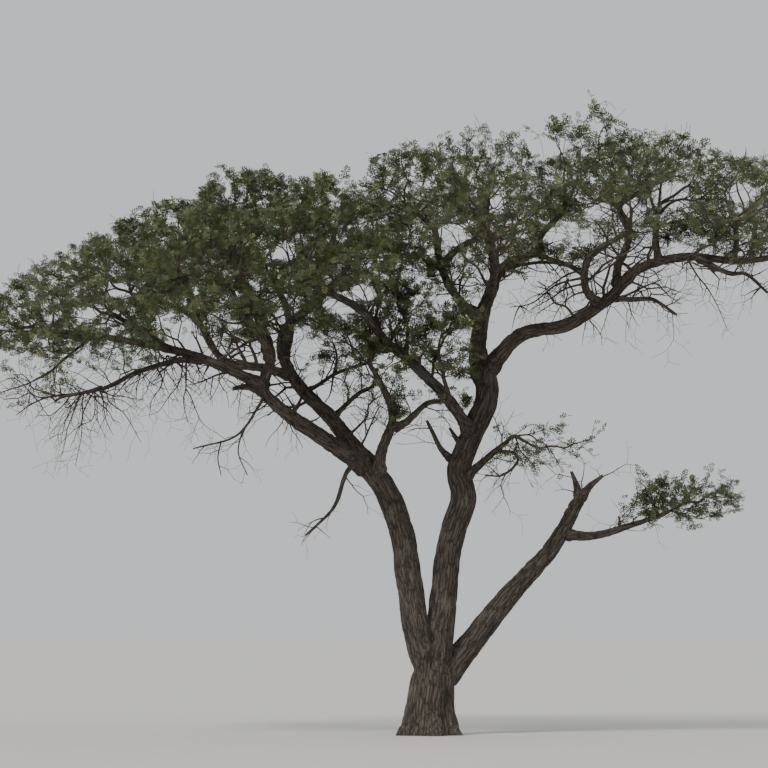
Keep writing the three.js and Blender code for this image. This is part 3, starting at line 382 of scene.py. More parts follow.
# Crooked branches, tufts and thorns
BRANCH_SEED = 77
BRANCH_STEP = 0.085
BRANCH_BEND = 0.07
BRANCH_PULL = 0.06
BRANCH_TAPER = 0.3
BRANCH_ORDERS = 2
FORK_LENGTH = (0.3, 0.65)
FORK_THINNING = 0.72
KNEE_SPACING = (0.16, 0.42)
KNEE_TURN = (0.35, 0.95)
BARE_TIP_RADIUS = 0.003
DEAD_TWIG_SPACING = 0.3
MAIN_TWIG_SPACING = 0.16
FINE_TWIG_SPACING = 0.12
THIN_BOUGH_START = 0.25
STOUT_BOUGH_START = 0.4
SIDE_TWIG_LENGTH = (0.35, 1.1)
THIN_BOUGH = 0.1
THIN_END = 0.02
THIN_END_LENGTH = 0.55
ROOT_DEPTH = 0.6
SIDE_TWIG_RADIUS = (0.008, 0.015)
SIDE_TWIG_LIFTS = [-0.1, 0.02, 0.08]
INNER_SPACING = 0.36
INNER_LENGTH = (0.8, 1.7)
INNER_RADIUS = 0.042
INNER_THINNING = 0.42
INNER_LIFT = 0.02
INNER_CROWN_HEIGHT = 6.3
INNER_BOUGH_RADIUS = 0.04
HANGING_RADIUS = (0.009, 0.017)
HANGING_LIFT = -0.11
HANGING_LENGTH = (0.6, 1.15)
TUFT_TWIGS = 190
TUFT_HOLDS = 3
TUFT_HOLD_RADII = (0.011, 0.01, 0.009)
TUFT_TWIG_RADII = (0.006, 0.004)
TUFT_SPREAD = (0.55, 0.55, 0.35)
TUFT_STEPS = 3
TUFT_STEP = (0.2, 0.4)
TUFT_SWAY = 0.45
TUBE_SIDES = [(0.025, 8), (0.011, 5), (0, 3)]
THORN_SEED = 5
THORN_SHARE = 0.6
THORN_SIZE = (0.045, 0.075)
THORN_FOOT = (0, 2.09, 4.19)

# Sprays of leaves
LEAF_SEED = 31
SPRAY_STEP = 0.03
SPRAY_RUN = 0.5
SPRAY_FORWARD = (0.3, 1.2)
SPRAY_LIFT = 0.25
SPRAY_RISE = 0.55
SPRAY_ROLL = 0.6
SPRAY_SIZE = (0.75, 1.2)
SPRAY_CLEARANCE = 0.03
SPRAY_OVERHANG = 0.1
SPRAYING_RADIUS = 0.008
SIDE_LEAF_DEPTH = 1.15
SIDE_LEAFINESS = 0.6
BOX_ROOM = 0.05
COLOUR_SHARES = {"dark": 0.26, "olive": 0.34, "grey": 0.26, "fresh": 0.14}

# Leaflets of one spray: where each starts, its length as a share of the spray's, and its turn
LEAFLETS = [(0.1, 0.6, 1.05), (0.12, 0.6, -1.0), (0.38, 0.62, 0.9), (0.4, 0.6, -0.9), (0.62, 0.5, 0.6),
            (0.64, 0.5, -0.6)]
LEAFLET_HALF_WIDTH = 0.1
LEAFLET_RISE = 0.12
LEAFLET_FOLD = 0.02
STALK = [(0, 0.008), (0.72, 0), (0, -0.008)]

# Pieces: where left turns to right, and how many triangles one may have
BOUGH_DIVIDE = 0.2
TWIG_DIVIDE = 0.5
PIECE_LIMIT = 190000
BATCH = 4000
UP = np.array((0.0, 0.0, 1.0))

# The stage
VIEW_POINT = (-0.836, -57.2, 2.0)
SENSOR_WIDTH = 36.0
VIEW_RANGE = (1.0, 2000.0)
FLOOR_HALF_WIDTH = 600
KEY_SPREAD = 14
KEY_TURN = (48, 0, -38)


def unit(v):
    """A vector, or each row of an array, at length one."""
    return v / np.maximum(np.linalg.norm(v, axis=-1, keepdims=True), 1e-12)


def mix(a, b, share):
    return a + (b - a) * share


def lengths(rows):
    return np.linalg.norm(rows, axis=-1)


def run_along(points):
    """How far along a line each of its points lies."""
    return np.concatenate(((0,), np.cumsum(lengths(np.diff(points, axis=0)))))


def points_at(marks, run, points):
    """The points of a line at the marked distances along it."""
    return np.stack([np.interp(marks, run, points[:, k]) for k in range(3)], 1)


def smooth_line(points, step):
    """A centripetal Catmull-Rom line through the points, resampled at even steps."""
    p = np.array(points, float)
    p = np.vstack((2 * p[0] - p[1], p, 2 * p[-1] - p[-2]))
    gaps = np.maximum(lengths(np.diff(p, axis=0)) ** 0.5, 1e-4)
    t = np.linspace(0, 1, LINE_SAMPLES, endpoint=False)[:, None]
    rows = []
    for i in range(1, len(p) - 2):
        d0, d1, d2 = gaps[i - 1:i + 2]
        m1 = ((p[i] - p[i - 1]) / d0 - (p[i + 1] - p[i - 1]) / (d0 + d1) + (p[i + 1] - p[i]) / d1) * d1
        m2 = ((p[i + 1] - p[i]) / d1 - (p[i + 2] - p[i]) / (d1 + d2) + (p[i + 2] - p[i + 1]) / d2) * d1
        rise = 2 * t**3 - 3 * t**2
        rows.append(p[i] * (rise + 1) - p[i + 1] * rise + m1 * (t**3 - 2 * t**2 + t) + m2 * (t**3 - t**2))
    dense = np.vstack(rows + [p[-2:-1]])
    run = run_along(dense)
    marks = np.linspace(0, run[-1], max(2, round(run[-1] / step)) + 1)
    return points_at(marks, run, dense), marks


def frames_along(points):
    """Tangents and two cross directions that don't twist along the line."""
    tangents = unit(np.gradient(points, axis=0))
    across = np.array((1.0, 0, 0)) if abs(tangents[0, 0]) < 0.8 else np.array((0, 1.0, 0))
    sides = np.empty_like(points)
    for i, along in enumerate(tangents):
        across = across - along * across.dot(along)
        across = across / math.sqrt(across.dot(across))
        sides[i] = across
    return tangents, sides, np.cross(tangents, sides)


def ring_angles(sides):
    return 2 * math.pi * np.arange(sides) / sides


def hashed(cells, salt):
    """Repeatable numbers from 0 to 1 for whole-number grid cells."""
    c = cells.astype(np.int64)
    h = (c[..., 0] * 73856093) ^ (c[..., 1] * 19349663) ^ (c[..., 2] * 83492791) ^ (salt * 2654435761)
    h = (h ^ (h >> 13)) * 1274126177 & 0xFFFFFFFF
    h = (h ^ (h >> 16)) * 2246822519 & 0xFFFFFFFF
    return ((h ^ (h >> 15)) & 0xFFFFFF) / 0xFFFFFF


def soft_noise(p, salt):
    """Smooth noise from -1 to 1."""
    base = np.floor(p)
    f = p - base
    f = f * f * (3 - 2 * f)
    total = np.zeros(len(p))
    for corner in np.ndindex(2, 2, 2):
        k = np.array(corner)
        weight = np.prod(np.where(k, f, 1 - f), axis=1)
        total += weight * hashed(base + k, salt)
    return 2 * total - 1


def plate_edges(p, salt):
    """Distance from a point to the nearest border between bark plates, about 0 to 0.6."""
    base = np.floor(p)
    nearest = np.full(len(p), 9.0)
    second = np.full(len(p), 9.0)
    for corner in np.ndindex(3, 3, 3):
        cell = base + np.array(corner) - 1
        seed = cell + np.stack([hashed(cell, salt + k) for k in range(3)], 1)
        d = lengths(p - seed)
        second = np.minimum(second, np.maximum(nearest, d))
        nearest = np.minimum(nearest, d)
    return second - nearest


def bark_relief(place, radius):
    """Height of the bark from -1 in a furrow to 1 on a plate, at places across and along a limb."""
    usual, least, most, power = PLATE_GROWTH
    size = PLATE_WIDTH * np.clip(radius / usual, least, most) ** power
    grain = place / size[:, None]
    stretched = grain * (1, 1, PLATE_LENGTHENING)
    warp = np.stack([soft_noise(grain * (0.5, 0.5, PLATE_LENGTHENING), salt) for salt in (11, 12, 13)], 1)
    edge = plate_edges(stretched + warp * PLATE_WARP, 5)
    plate = np.clip(edge / FURROW_SHARE, 0, 1)
    plate = plate * plate * (3 - 2 * plate)
    rough = 0.6 * soft_noise(grain * (1.2, 1.2, 0.2), 21) + 0.4 * soft_noise(grain * (2.2, 2.2, 0.5), 22)
    return PLATE_HEIGHT * plate - 1.0 + ROUGH_HEIGHT * rough


def add_points(mesh, points):
    mesh.vertices.add(len(points))
    mesh.vertices.foreach_set("co", np.asarray(points, np.float32).ravel())


class Skin:
    """Gathers rings of points into one closed mesh, with an optional value and vector for every point."""

    def __init__(self):
        self.points, self.quads, self.caps, self.values, self.grains = [], [], [], [], []
        self.count = 0

    def tube(self, rings, values=None, grains=None):
        steps, sides = rings.shape[:2]
        index = self.count + np.arange(steps * sides).reshape(steps, sides)
        nxt = np.roll(index, -1, axis=1)
        self.quads.append(np.stack((index[:-1], nxt[:-1], nxt[1:], index[1:]), -1).reshape(-1, 4))
        self.caps += [index[0][::-1], index[-1]]
        self.points.append(rings.reshape(-1, 3))
        self.count += steps * sides
        self.values.append(values)
        self.grains.append(grains)

    def triangles(self):
        return 2 * sum(len(q) for q in self.quads) + sum(len(c) - 2 for c in self.caps)

    def mesh(self, name):
        """The mesh, made from plain arrays: points, all the faces' corners in a row, and each face's size."""
        quads = np.vstack(self.quads)
        points = np.vstack(self.points)
        corners = np.concatenate([quads.ravel(), *self.caps])
        sizes = np.concatenate((np.full(len(quads), 4), [len(c) for c in self.caps]))
        mesh = bpy.data.meshes.new(name)
        add_points(mesh, points)
        mesh.loops.add(len(corners))
        mesh.loops.foreach_set("vertex_index", np.asarray(corners, np.int32))
        mesh.polygons.add(len(sizes))
        starts = np.concatenate(((0,), np.cumsum(sizes)[:-1]))
        mesh.polygons.foreach_set("loop_start", starts.astype(np.int32))
        mesh.polygons.foreach_set("loop_total", np.asarray(sizes, np.int32))
        mesh.update(calc_edges=True)
        mesh.validate()
        return mesh


def store(mesh, name, values):
    """Keeps one number or vector for every vertex of a mesh."""
    kind, field = ("FLOAT", "value") if values.ndim == 1 else ("FLOAT_VECTOR", "vector")
    layer = mesh.attributes.new(name, kind, "POINT")
    layer.data.foreach_set(field, np.asarray(values, np.float32).ravel())


def in_scene(name, data):
    """A new object in the scene."""
    thing = bpy.data.objects.new(name, data)
    bpy.context.scene.collection.objects.link(thing)
    return thing


def evaluated_mesh(piece):
    """What an object's modifiers make of it, as a plain mesh."""
    return bpy.data.meshes.new_from_object(piece.evaluated_get(bpy.context.evaluated_depsgraph_get()))


def show(name, mesh, material, smooth=True):
    """Puts a mesh in the scene under its finish, riding on the tree."""
    piece = in_scene(name, mesh)
    mesh.name = name
    mesh.materials.clear()
    mesh.materials.append(material)
    mesh.polygons.foreach_set("use_smooth", np.full(len(mesh.polygons), smooth))
    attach(piece, ROOT_BODY)
    return piece


class Limb:
    """A limb's line, the radius along it and where it is broken off."""

    def __init__(self, name, radius, line, kind="main"):
        self.name = name
        self.is_main = kind == "main"
        self.is_broken = kind == "fork" and name not in LIVE_FORKS or name == "dead_limb"
        self.is_stem = self.is_main and name in STEMS
        self.points, self.runs = smooth_line(line, RING_STEP)
        share = self.runs / self.runs[-1]
        self.radii = mix(radius[0], radius[1], share)
        self.length = self.runs[-1]
        self.starts = self.points[:-1:STRETCH_RINGS]
        ends = np.vstack((self.points[STRETCH_RINGS::STRETCH_RINGS], self.points[-1:]))
        self.ends = ends[:len(self.starts)]
        salt = sum(ord(c) for c in name)
        keep = np.sin(np.pi * share)[:, None]
        still = np.zeros(len(share))
        beat = np.column_stack((self.runs * WANDER_BEAT, still + salt + 0.5, still))
        sway = np.stack([soft_noise(beat, salt + k) for k in range(3)], 1)
        self.axis = self.points + sway * keep * self.radii[:, None] * WANDER_SHARE * (name != "trunk")
        self.lumps = 1 + LUMP_SHARE * soft_noise(beat * (LUMP_BEAT, 1, 1), salt + 7) * (name != "trunk")
        self.offset = np.array((0, 0, self.axis[0, 2]))
        if name in STEMS:
            self.offset[:2] = self.axis[np.abs(self.axis[:, 2] - FORK_HEIGHT).argmin(), :2]

    def heading_at(self, run):
        """The number of the ring at a distance along the limb, and the limb's direction there."""
        i = max(1, min(int(np.searchsorted(self.runs, run)), len(self.points) - 1))
        return i, unit(self.points[i] - self.points[i - 1])


def grow_limbs():
    limbs = []
    for name, radius, line, forks in LIMBS:
        limbs.append(Limb(name, radius, line))
        limbs += [Limb(name, r, points, "fork") for r, points in forks]
    return limbs + [Limb(f"slim_{n}", r, points, "slim") for n, (r, points) in enumerate(SLIM_BOUGHS)]


TREE_LIMBS = grow_limbs()


def capsules(limbs):
    """Every limb as short straight stretches: starts, ends and radii."""
    starts = np.vstack([limb.starts for limb in limbs])
    ends = np.vstack([limb.ends for limb in limbs])
    return starts, ends, np.concatenate([limb.radii[:-1:STRETCH_RINGS] for limb in limbs])


def point_gaps(points, starts, ends, radii):
    """Distance from each point to the skin of its nearest stretch, and which stretch that is."""
    best = np.full(len(points), 1e9)
    which = np.zeros(len(points), int)
    along = ends - starts
    squares = np.maximum((along**2).sum(1), 1e-12)
    for first in range(0, len(points), BATCH):
        p = points[first:first + BATCH]
        t = np.clip(((p @ along.T) - (starts * along).sum(1)) / squares, 0, 1)
        near = starts[None] + t[..., None] * along[None]
        gaps = lengths(p[:, None] - near) - radii
        which[first:first + BATCH] = gaps.argmin(1)
        best[first:first + BATCH] = gaps.min(1)
    return best, which


def limb_rings(limb, sides, axis, radii):
    """Rings of points round a limb, the place of each across and along it, and its distance from the axis."""
    _, side, up = frames_along(axis)
    angles = ring_angles(sides)
    wide = np.cos(angles)
    deep = np.sin(angles)
    reach = radii[:, None] * np.ones(sides)
    if limb.name == "trunk":
        flare = FLARE_SHARE * np.exp(-axis[:, 2:3] / FLARE_HEIGHT)
        fluting = (FLUTE_SHARE + FLUTE_FLARE * flare) * np.cos(FLUTES * angles + FLUTE_TURN)
        reach = reach * (1 + flare + fluting)
        deep = deep * TRUNK_DEPTH_SHARE
    ring = axis[:, None] + (reach * wide)[..., None] * side[:, None] + (reach * deep)[..., None] * up[:, None]
    place = np.stack((reach * wide, reach * deep, np.repeat(limb.runs[:len(axis), None], sides, 1)), -1)
    return ring, place + limb.offset, reach


def parent_radius_of(limb):
    """Radius of the limb that a bough starts in."""
    others = capsules([other for other in TREE_LIMBS if other.name != limb.name or not limb.is_main])
    gaps, which = point_gaps(limb.points[:1], *others)
    return others[2][which[0]] if gaps[0] < JOIN_REACH else 0.0


def collared(limb):
    """A bough's radius, swollen where it leaves the limb that carries it."""
    parent_radius = parent_radius_of(limb)
    past = np.maximum(limb.runs - parent_radius, 0)
    swell = COLLAR_SHARE * np.exp(-past / (COLLAR_LENGTH * limb.radii[0]))
    rise = np.clip(limb.runs / max(parent_radius, RING_STEP), 0, 1)
    return limb.radii * (1 + swell * rise * rise) * limb.lumps


def emerging(limb):
    """How much of a main bough's own radius shows: it rises out of the joined skin at the skin's end."""
    if limb.name not in CROTCH_BOUGHS:
        return 1.0
    out = (limb.runs - CROTCH_LENGTH + 2 * CROTCH_BLEND) / CROTCH_BLEND
    return 1 - CROTCH_SHRINK * (1 - np.clip(out, 0, 1))


def bough_tube(skin, limb):
    sides = int(np.clip(round(2 * math.pi * limb.radii.max() / SIDE_STEP), *BOUGH_SIDES))
    rings, place, reach = limb_rings(limb, sides, limb.axis, collared(limb) * emerging(limb))
    place = place.reshape(-1, 3)
    height = bark_relief(place, reach.ravel())
    depth = np.minimum(RELIEF_DEPTH, RELIEF_SHARE * reach.ravel())
    out = unit(rings - limb.axis[:, None]).reshape(-1, 3)
    shaped = (rings.reshape(-1, 3) + out * (height * depth)[:, None]).reshape(rings.shape)
    if limb.is_broken:
        tangent = unit(limb.axis[-1] - limb.axis[-2])
        teeth = hashed(np.stack([np.arange(sides), np.full(sides, 3), np.full(sides, 5)], 1), 3)
        shaped[-1] += tangent * (teeth[:, None] * BROKEN_TEETH[0] - BROKEN_TEETH[1]) * limb.radii[-1]
    shaped[:, :, 2] = np.maximum(shaped[:, :, 2], 0)
    skin.tube(shaped, height, place)


# Nodes and finishes


class Wire:
    """A number socket that takes part in plain arithmetic."""

    def __init__(self, nodes, socket):
        self.nodes, self.socket = nodes, socket

    def math(self, operation, other):
        return self.nodes.wire("ShaderNodeMath", {"operation": operation}, [self, other])

    def __add__(self, other):
        return self.math("ADD", other)

    def __sub__(self, other):
        return self.math("SUBTRACT", other)

    def __rsub__(self, other):
        return (self * -1) + other

    def __mul__(self, other):
        return self.math("MULTIPLY", other)

    __radd__ = __add__
    __rmul__ = __mul__


class Nodes:
    """A node tree, and the one method that adds a node to it."""

    def __init__(self, tree):
        self.tree = tree

    def feed(self, socket, value):
        """Links a socket to another, or sets its own value."""
        value = value.socket if isinstance(value, Wire) else value
        if isinstance(value, bpy.types.NodeSocket):
            self.tree.links.new(value, socket)
        else:
            socket.default_value = value

    def node(self, kind, settings=None, values=None):
        """Adds a node: its settings first, then a value or link for each named or numbered socket."""
        node = self.tree.nodes.new(kind)
        for key, value in (settings or {}).items():
            if key == "stops":
                ramp = node.color_ramp
                while len(ramp.elements) < len(value):
                    ramp.elements.new(0.5)
                for element, (place, colour) in zip(ramp.elements, value):
                    element.position, element.color = place, colour
            else:
                setattr(node, key, value)
        items = values.items() if isinstance(values, dict) else enumerate(values or [])
        for key, value in items:
            self.feed(node.inputs[key], value)
        return node

    def wire(self, *parts, output=0):
        return Wire(self, self.node(*parts).outputs[output])


class Finish(Nodes):
    """A material and its nodes."""

    def __init__(self, name):
        self.material = bpy.data.materials.new(name)
        self.material.use_nodes = True
        super().__init__(self.material.node_tree)
        self.shader = next(n for n in self.tree.nodes if n.type == "BSDF_PRINCIPLED")

    def place(self):
        return self.node("ShaderNodeTexCoord").outputs["Object"]

    def noise(self, vector, scale, detail, output=0):
        values = {"Vector": vector, "Scale": scale, "Detail": detail}
        return self.wire("ShaderNodeTexNoise", None, values, output=output)

    def scaled(self, vector, scale):
        return self.node("ShaderNodeMapping", None, {"Vector": vector, "Scale": scale}).outputs[0]

    def bump(self, strength, distance, height):
        values = {"Strength": strength, "Distance": distance, "Height": height}
        return self.node("ShaderNodeBump", None, values).outputs[0]

    def set(self, **sockets):
        for key, value in sockets.items():
            self.feed(self.shader.inputs[key.replace("_", " ")], value)
        return self.material


def rgba(colour, share=1.0):
    return (*(c * share for c in colour), 1.0)


def bark_finish(name, plate, furrow, lichen):
    """Fissured bark: pale worn plates, furrows darker in their own tone and darker still with depth as painted
    shade, fine grain and a little lichen.
    """
    finish = Finish(name)
    height = finish.wire("ShaderNodeAttribute", {"attribute_name": "relief"}, output=2)
    grain = finish.node("ShaderNodeAttribute", {"attribute_name": "grain"}).outputs[1]
    place = finish.place()
    strands = finish.noise(finish.scaled(grain, STRAND_SCALE), 1.0, 6.0)
    blotch = finish.noise(place, BLOTCH_SCALE, 3.0)
    speck = finish.noise(place, SPECK_SCALE, 2.0)
    bends = finish.noise(grain, BEND_SCALE, 2.0, output=1)
    wavy = finish.node("ShaderNodeVectorMath", {"operation": "MULTIPLY_ADD"},
                       [bends, FURROW_BENDS, finish.scaled(grain, FURROW_SCALE)]).outputs[0]
    edge = finish.wire("ShaderNodeTexVoronoi", {"feature": "DISTANCE_TO_EDGE"},
                       {"Vector": wavy, "Scale": 1.0})
    plates = finish.wire("ShaderNodeMapRange", {"interpolation_type": "SMOOTHSTEP"},
                         {"Value": edge + (strands - 0.5) * FURROW_FRAY, "From Min": 0.0,
                          "From Max": FURROW_WIDTH})
    # Ramp input: lower deep in the relief and in the shader's furrow lines, so the colour runs from painted
    # shade at the bottom of the furrows (the furrow colour at 0.6), through the furrows' own darker tone, up to
    # the plate colour
    depth = height * 0.16 + 0.22 + plates * 0.42 + (strands - 0.5) * 0.75
    stops = [(0.0, rgba(furrow, 0.6)), (0.3, rgba(furrow)), (0.75, rgba(plate)), (1.0, rgba(plate, 1.25))]
    base = finish.node("ShaderNodeValToRGB", {"stops": stops}, [depth]).outputs[0]
    patch = finish.wire("ShaderNodeMapRange", None,
                        {"Value": blotch * 0.7 + speck * 0.45, "From Min": LICHEN_EDGE[0],
                         "From Max": LICHEN_EDGE[1]})
    tinted = finish.node("ShaderNodeMix", {"data_type": "RGBA"},
                         {0: patch * LICHEN_SHARE, 6: base, 7: rgba(lichen)}).outputs[2]
    relief = finish.bump(0.8, 0.012, plates * 0.8 + strands + speck * 0.3)
    return finish.set(Base_Color=tinted, Roughness=0.97 - height * 0.06, Normal=relief,
                      Specular_IOR_Level=0.25)


def twig_finish(name, colour):
    """Smooth thin bark, a little patchy."""
    finish = Finish(name)
    patchy = finish.noise(finish.place(), TWIG_PATCH_SCALE, 3.0)
    stops = [(0.3, rgba(colour, 0.6)), (0.7, rgba(colour, 1.35))]
    base = finish.node("ShaderNodeValToRGB", {"stops": stops}, [patchy]).outputs[0]
    return finish.set(Base_Color=base, Roughness=0.85 + patchy * 0.1, Normal=finish.bump(0.4, 0.003, patchy),
                      Specular_IOR_Level=0.3)


def leaf_finish(name, colour):
    """A leaflet's plain colour, with a soft sheen."""
    return Finish(name).set(Base_Color=rgba(colour), Roughness=0.62, Specular_IOR_Level=0.35)


def colour_prop(name, about, default):
    return bpy.props.FloatVectorProperty(name=name, description=about, default=default, size=3,
                                         min=0, max=1, subtype="COLOR")


def number_prop(name, about, default, **kind):
    return bpy.props.FloatProperty(name=name, description=about, default=default, **kind)


class BarkSettings(bpy.types.PropertyGroup):
    """Sizes and colours of the bark."""
    plate: colour_prop("Plates", "Colour of the worn plates", (0.112, 0.092, 0.075))
    # The furrow colour is partly the bark's own darker tone and partly painted shade in the furrows
    furrow: colour_prop("Furrows", "Colour of the furrows", (0.05, 0.04, 0.032))
    lichen: colour_prop("Lichen", "Colour of the lichen", (0.2, 0.19, 0.15))
    twig: colour_prop("Twigs", "Colour of the twigs", (0.074, 0.058, 0.046))
    thorn: colour_prop("Thorns", "Colour of the thorns", (0.3, 0.26, 0.2))
    depth: number_prop("Relief", "Depth of the furrows in the stems", RELIEF_DEPTH, unit="LENGTH")


class LeafSettings(bpy.types.PropertyGroup):
    """Sizes and colours of the leaves."""
    length: number_prop("Spray length", "Length of one spray of leaflets", 0.13, unit="LENGTH")
    dark: colour_prop("Shaded leaves", "Colour of the older leaves", (0.052, 0.072, 0.026))
    olive: colour_prop("Olive leaves", "Colour of most leaves", (0.085, 0.105, 0.036))
    grey: colour_prop("Grey leaves", "Colour of the dusty leaves", (0.105, 0.122, 0.06))
    fresh: colour_prop("Fresh leaves", "Colour of the new leaves", (0.135, 0.15, 0.045))


class StageSettings(bpy.types.PropertyGroup):
    """The floor, the light and where the camera stands."""
    floor: colour_prop("Floor", "Colour of the floor", (0.62, 0.60, 0.57))
    sky: colour_prop("Sky", "Colour of the soft light all round", (0.86, 0.88, 0.9))
    sky_light: number_prop("Sky light", "Strength of the light all round", 0.8)
    sun_light: number_prop("Key light", "Strength of the soft key light", 2.2)
    lens: number_prop("Lens", "Focal length in millimetres", 141.8)
    stand: bpy.props.FloatVectorProperty(name="Camera", description="Where the camera stands", unit="LENGTH",
                                         subtype="TRANSLATION", default=VIEW_POINT)
    tilt: number_prop("Tilt", "How far the camera looks up", math.radians(4.62), unit="ROTATION",
                      subtype="ANGLE")


# Growth of the twigs


def seen(points):
    """Where points appear from the front, across and up at the trunk's distance."""
    x, y, z = VIEW_POINT
    share = -y / (points[:, 1] - y)
    return x + (points[:, 0] - x) * share, z + (points[:, 2] - z) * share


def in_opening(points):
    """Which points appear in one of the crown's open places."""
    across, up = seen(points)
    found = np.zeros(len(points), bool)
    for (x, z), (wide, high) in OPENINGS:
        found |= ((across - x) / wide) ** 2 + ((up - z) / high) ** 2 < 1
    return found


def room_above(points):
    """How far points lie under the crown's upper edge."""
    across, up = seen(points)
    return np.interp(across, SKYLINE[:, 0], SKYLINE[:, 1]) - up


class Growth:
    """The forks and twigs of one mass, as nodes that each hang on an earlier one."""

    def __init__(self, row):
        self.name, bough, centre, reach, self.leafiness = row
        self.centre, self.reach = np.array(centre, float), np.array(reach, float)
        limb = next(one for one in TREE_LIMBS if one.name == bough and one.is_main)
        heading = unit(limb.points[-1] - limb.points[-2])
        self.stout = limb.radii[-1] * STEM_SHARE
        elbow = limb.points[-1] + heading * STEM_LEAD
        self.at = [limb.points[-1] - heading * STEM_SUNK, elbow]
        self.parent, self.run = [-1, 0], [0.0, STEM_LEAD]
        for share in STEM_FORKS:
            self.join(len(self.at) - 1, mix(elbow, self.centre, share))
        self.ends, self.lines = [], []

    def join(self, parent, at):
        self.run.append(self.run[parent] + float(np.linalg.norm(at - self.at[parent])))
        self.at.append(at)
        self.parent.append(parent)
        return len(self.at) - 1

    def depth(self, points):
        return lengths((points - self.centre) / self.reach)

    def reach_out(self, end, rng, blocked):
        """Grows a twig to its end from the best node, or none where the way is blocked."""
        nodes = np.array(self.at)
        span = lengths(nodes - end)
        cost = span + THRIFT * np.array(self.run)
        cost[0] = 1e9
        for start in np.argsort(cost)[:3]:
            steps = max(1, round(span[start] / TWIG_STEP))
            share = np.arange(1, steps + 1)[:, None] / steps
            line = mix(nodes[start], end, share)
            line = line + UP * TWIG_ARCH * span[start] * (share - share**2) * 0.5
            wander = TWIG_WANDER * (1 + 1.5 * min(span[start], 1.0))
            line[:-1] += rng.uniform(-1, 1, (steps - 1, 3)) * wander
            if span[start] > LEAST_TWIG and not blocked(np.vstack((line, mix(nodes[start], line[0], 0.5)))):
                at = start
                for p in line:
                    at = self.join(at, p)
                self.ends.append(at)
                return True
        return False


def owned(growth, growths, points):
    """Which points lie in this mass's own space."""
    depth = growth.depth(points)
    inside = depth <= OWN_DEPTH
    for other in growths:
        if other is not growth:
            inside &= other.depth(points) >= depth
    return inside


def spaced_places(growth, growths, count, rng, limbs):
    """Middles of the clumps, each the farthest from the others among a few tries."""
    tries = rng.normal(size=(count * TRIES * 2, 3))
    least, most = CLUMP_DEPTH
    tries = unit(tries) * rng.uniform(least, 1, (len(tries), 1)) ** 0.5 * most
    tries[:, 2] = np.where(tries[:, 2] < -0.5, -tries[:, 2], tries[:, 2])
    places = growth.centre + tries * growth.reach
    gaps, _ = point_gaps(places, *limbs)
    places = places[owned(growth, growths, places) & (gaps > CLUMP_CLEARANCE) & ~in_opening(places)]
    chosen = [places[0]]
    nearest = lengths((places - places[0]) / growth.reach)
    order = rng.permutation(len(places))
    for n in range(1, count):
        few = order[(n * TRIES) % len(order):][:TRIES]
        pick = few[nearest[few].argmax()]
        chosen.append(places[pick])
        nearest = np.minimum(nearest, lengths((places - places[pick]) / growth.reach))
    return np.array(chosen)


def add_shoots(growth, rng):
    """Leafy shoots that stand out of the mass's upper skin, and up to the crown's edge."""
    places = np.array(growth.at)
    outer = [i for i in growth.ends
             if growth.depth(places[i]) > SHOOT_DEPTH and places[i][2] > growth.centre[2]]
    for i in rng.permutation(outer)[:SHOOTS]:
        heading = unit((places[i] - growth.centre) / growth.reach**2) + UP * rng.uniform(0, 0.7)
        length = rng.uniform(*SHOOT_LENGTH)
        at = int(i)
        for _ in range(SHOOT_STEPS):
            heading = unit(unit(heading) + rng.normal(size=3) * SHOOT_SWAY)
            at = growth.join(at, growth.at[at] + heading * length / SHOOT_STEPS)
    room = room_above(places)
    short = [i for i in growth.ends if EDGE_ROOM[0] < room[i] < EDGE_ROOM[1]]
    for i in rng.permutation(short)[:EDGE_SHOOTS]:
        heading = unit(UP + rng.normal(size=3) * EDGE_SWAY)
        at = int(i)
        for _ in range(SHOOT_STEPS):
            heading = unit(heading + rng.normal(size=3) * SHOOT_SWAY)
            step = (room[i] - EDGE_ROOM[0]) * rng.uniform(*EDGE_STEP) / SHOOT_STEPS
            at = growth.join(at, growth.at[at] + heading * step)


def grow_mass(growth, growths, seed, limbs):
    rng = np.random.default_rng(seed)

    def blocked(points):
        gaps, _ = point_gaps(points, *limbs)
        return gaps.min() < LIMB_CLEARANCE

    count = max(LEAST_CLUMPS, round(CLUMPS_PER_MASS * mix(BARE_CLUMP_SHARE, 1, growth.leafiness)))
    clumps = spaced_places(growth, growths, count, rng, limbs)
    for clump in clumps[np.argsort(lengths(clumps - growth.at[1]))]:
        if not growth.reach_out(clump, rng, blocked):
            continue
        ends = clump + rng.normal(size=(ENDS_PER_CLUMP, 3)) * CLUMP_SIZE
        for end in ends[owned(growth, growths, ends) & ~in_opening(ends) & (room_above(ends) > 0)]:
            growth.reach_out(end, rng, blocked)
    add_shoots(growth, rng)
    for name, points in SPRIGS:
        if name == growth.name:
            at = int(lengths(np.array(growth.at) - points[0]).argmin())
            line, _ = smooth_line([growth.at[at], *points], SPRIG_STEP)
            for p in line[1:]:
                at = growth.join(at, p)


def loads(growth):
    """How many twig ends each node carries."""
    load = np.zeros(len(growth.at))
    forks = np.zeros(len(growth.at), int)
    for parent in growth.parent[1:]:
        forks[parent] += 1
    for i in range(len(growth.at) - 1, 0, -1):
        load[i] += forks[i] == 0
        load[growth.parent[i]] += load[i]
    return load


def curved(points, radii):
    """The same line as a smooth curve through its points."""
    run = run_along(points)
    dense, marks = smooth_line(points, STOUT_TWIG_STEP)
    return dense, np.interp(marks / marks[-1], run / run[-1], radii)


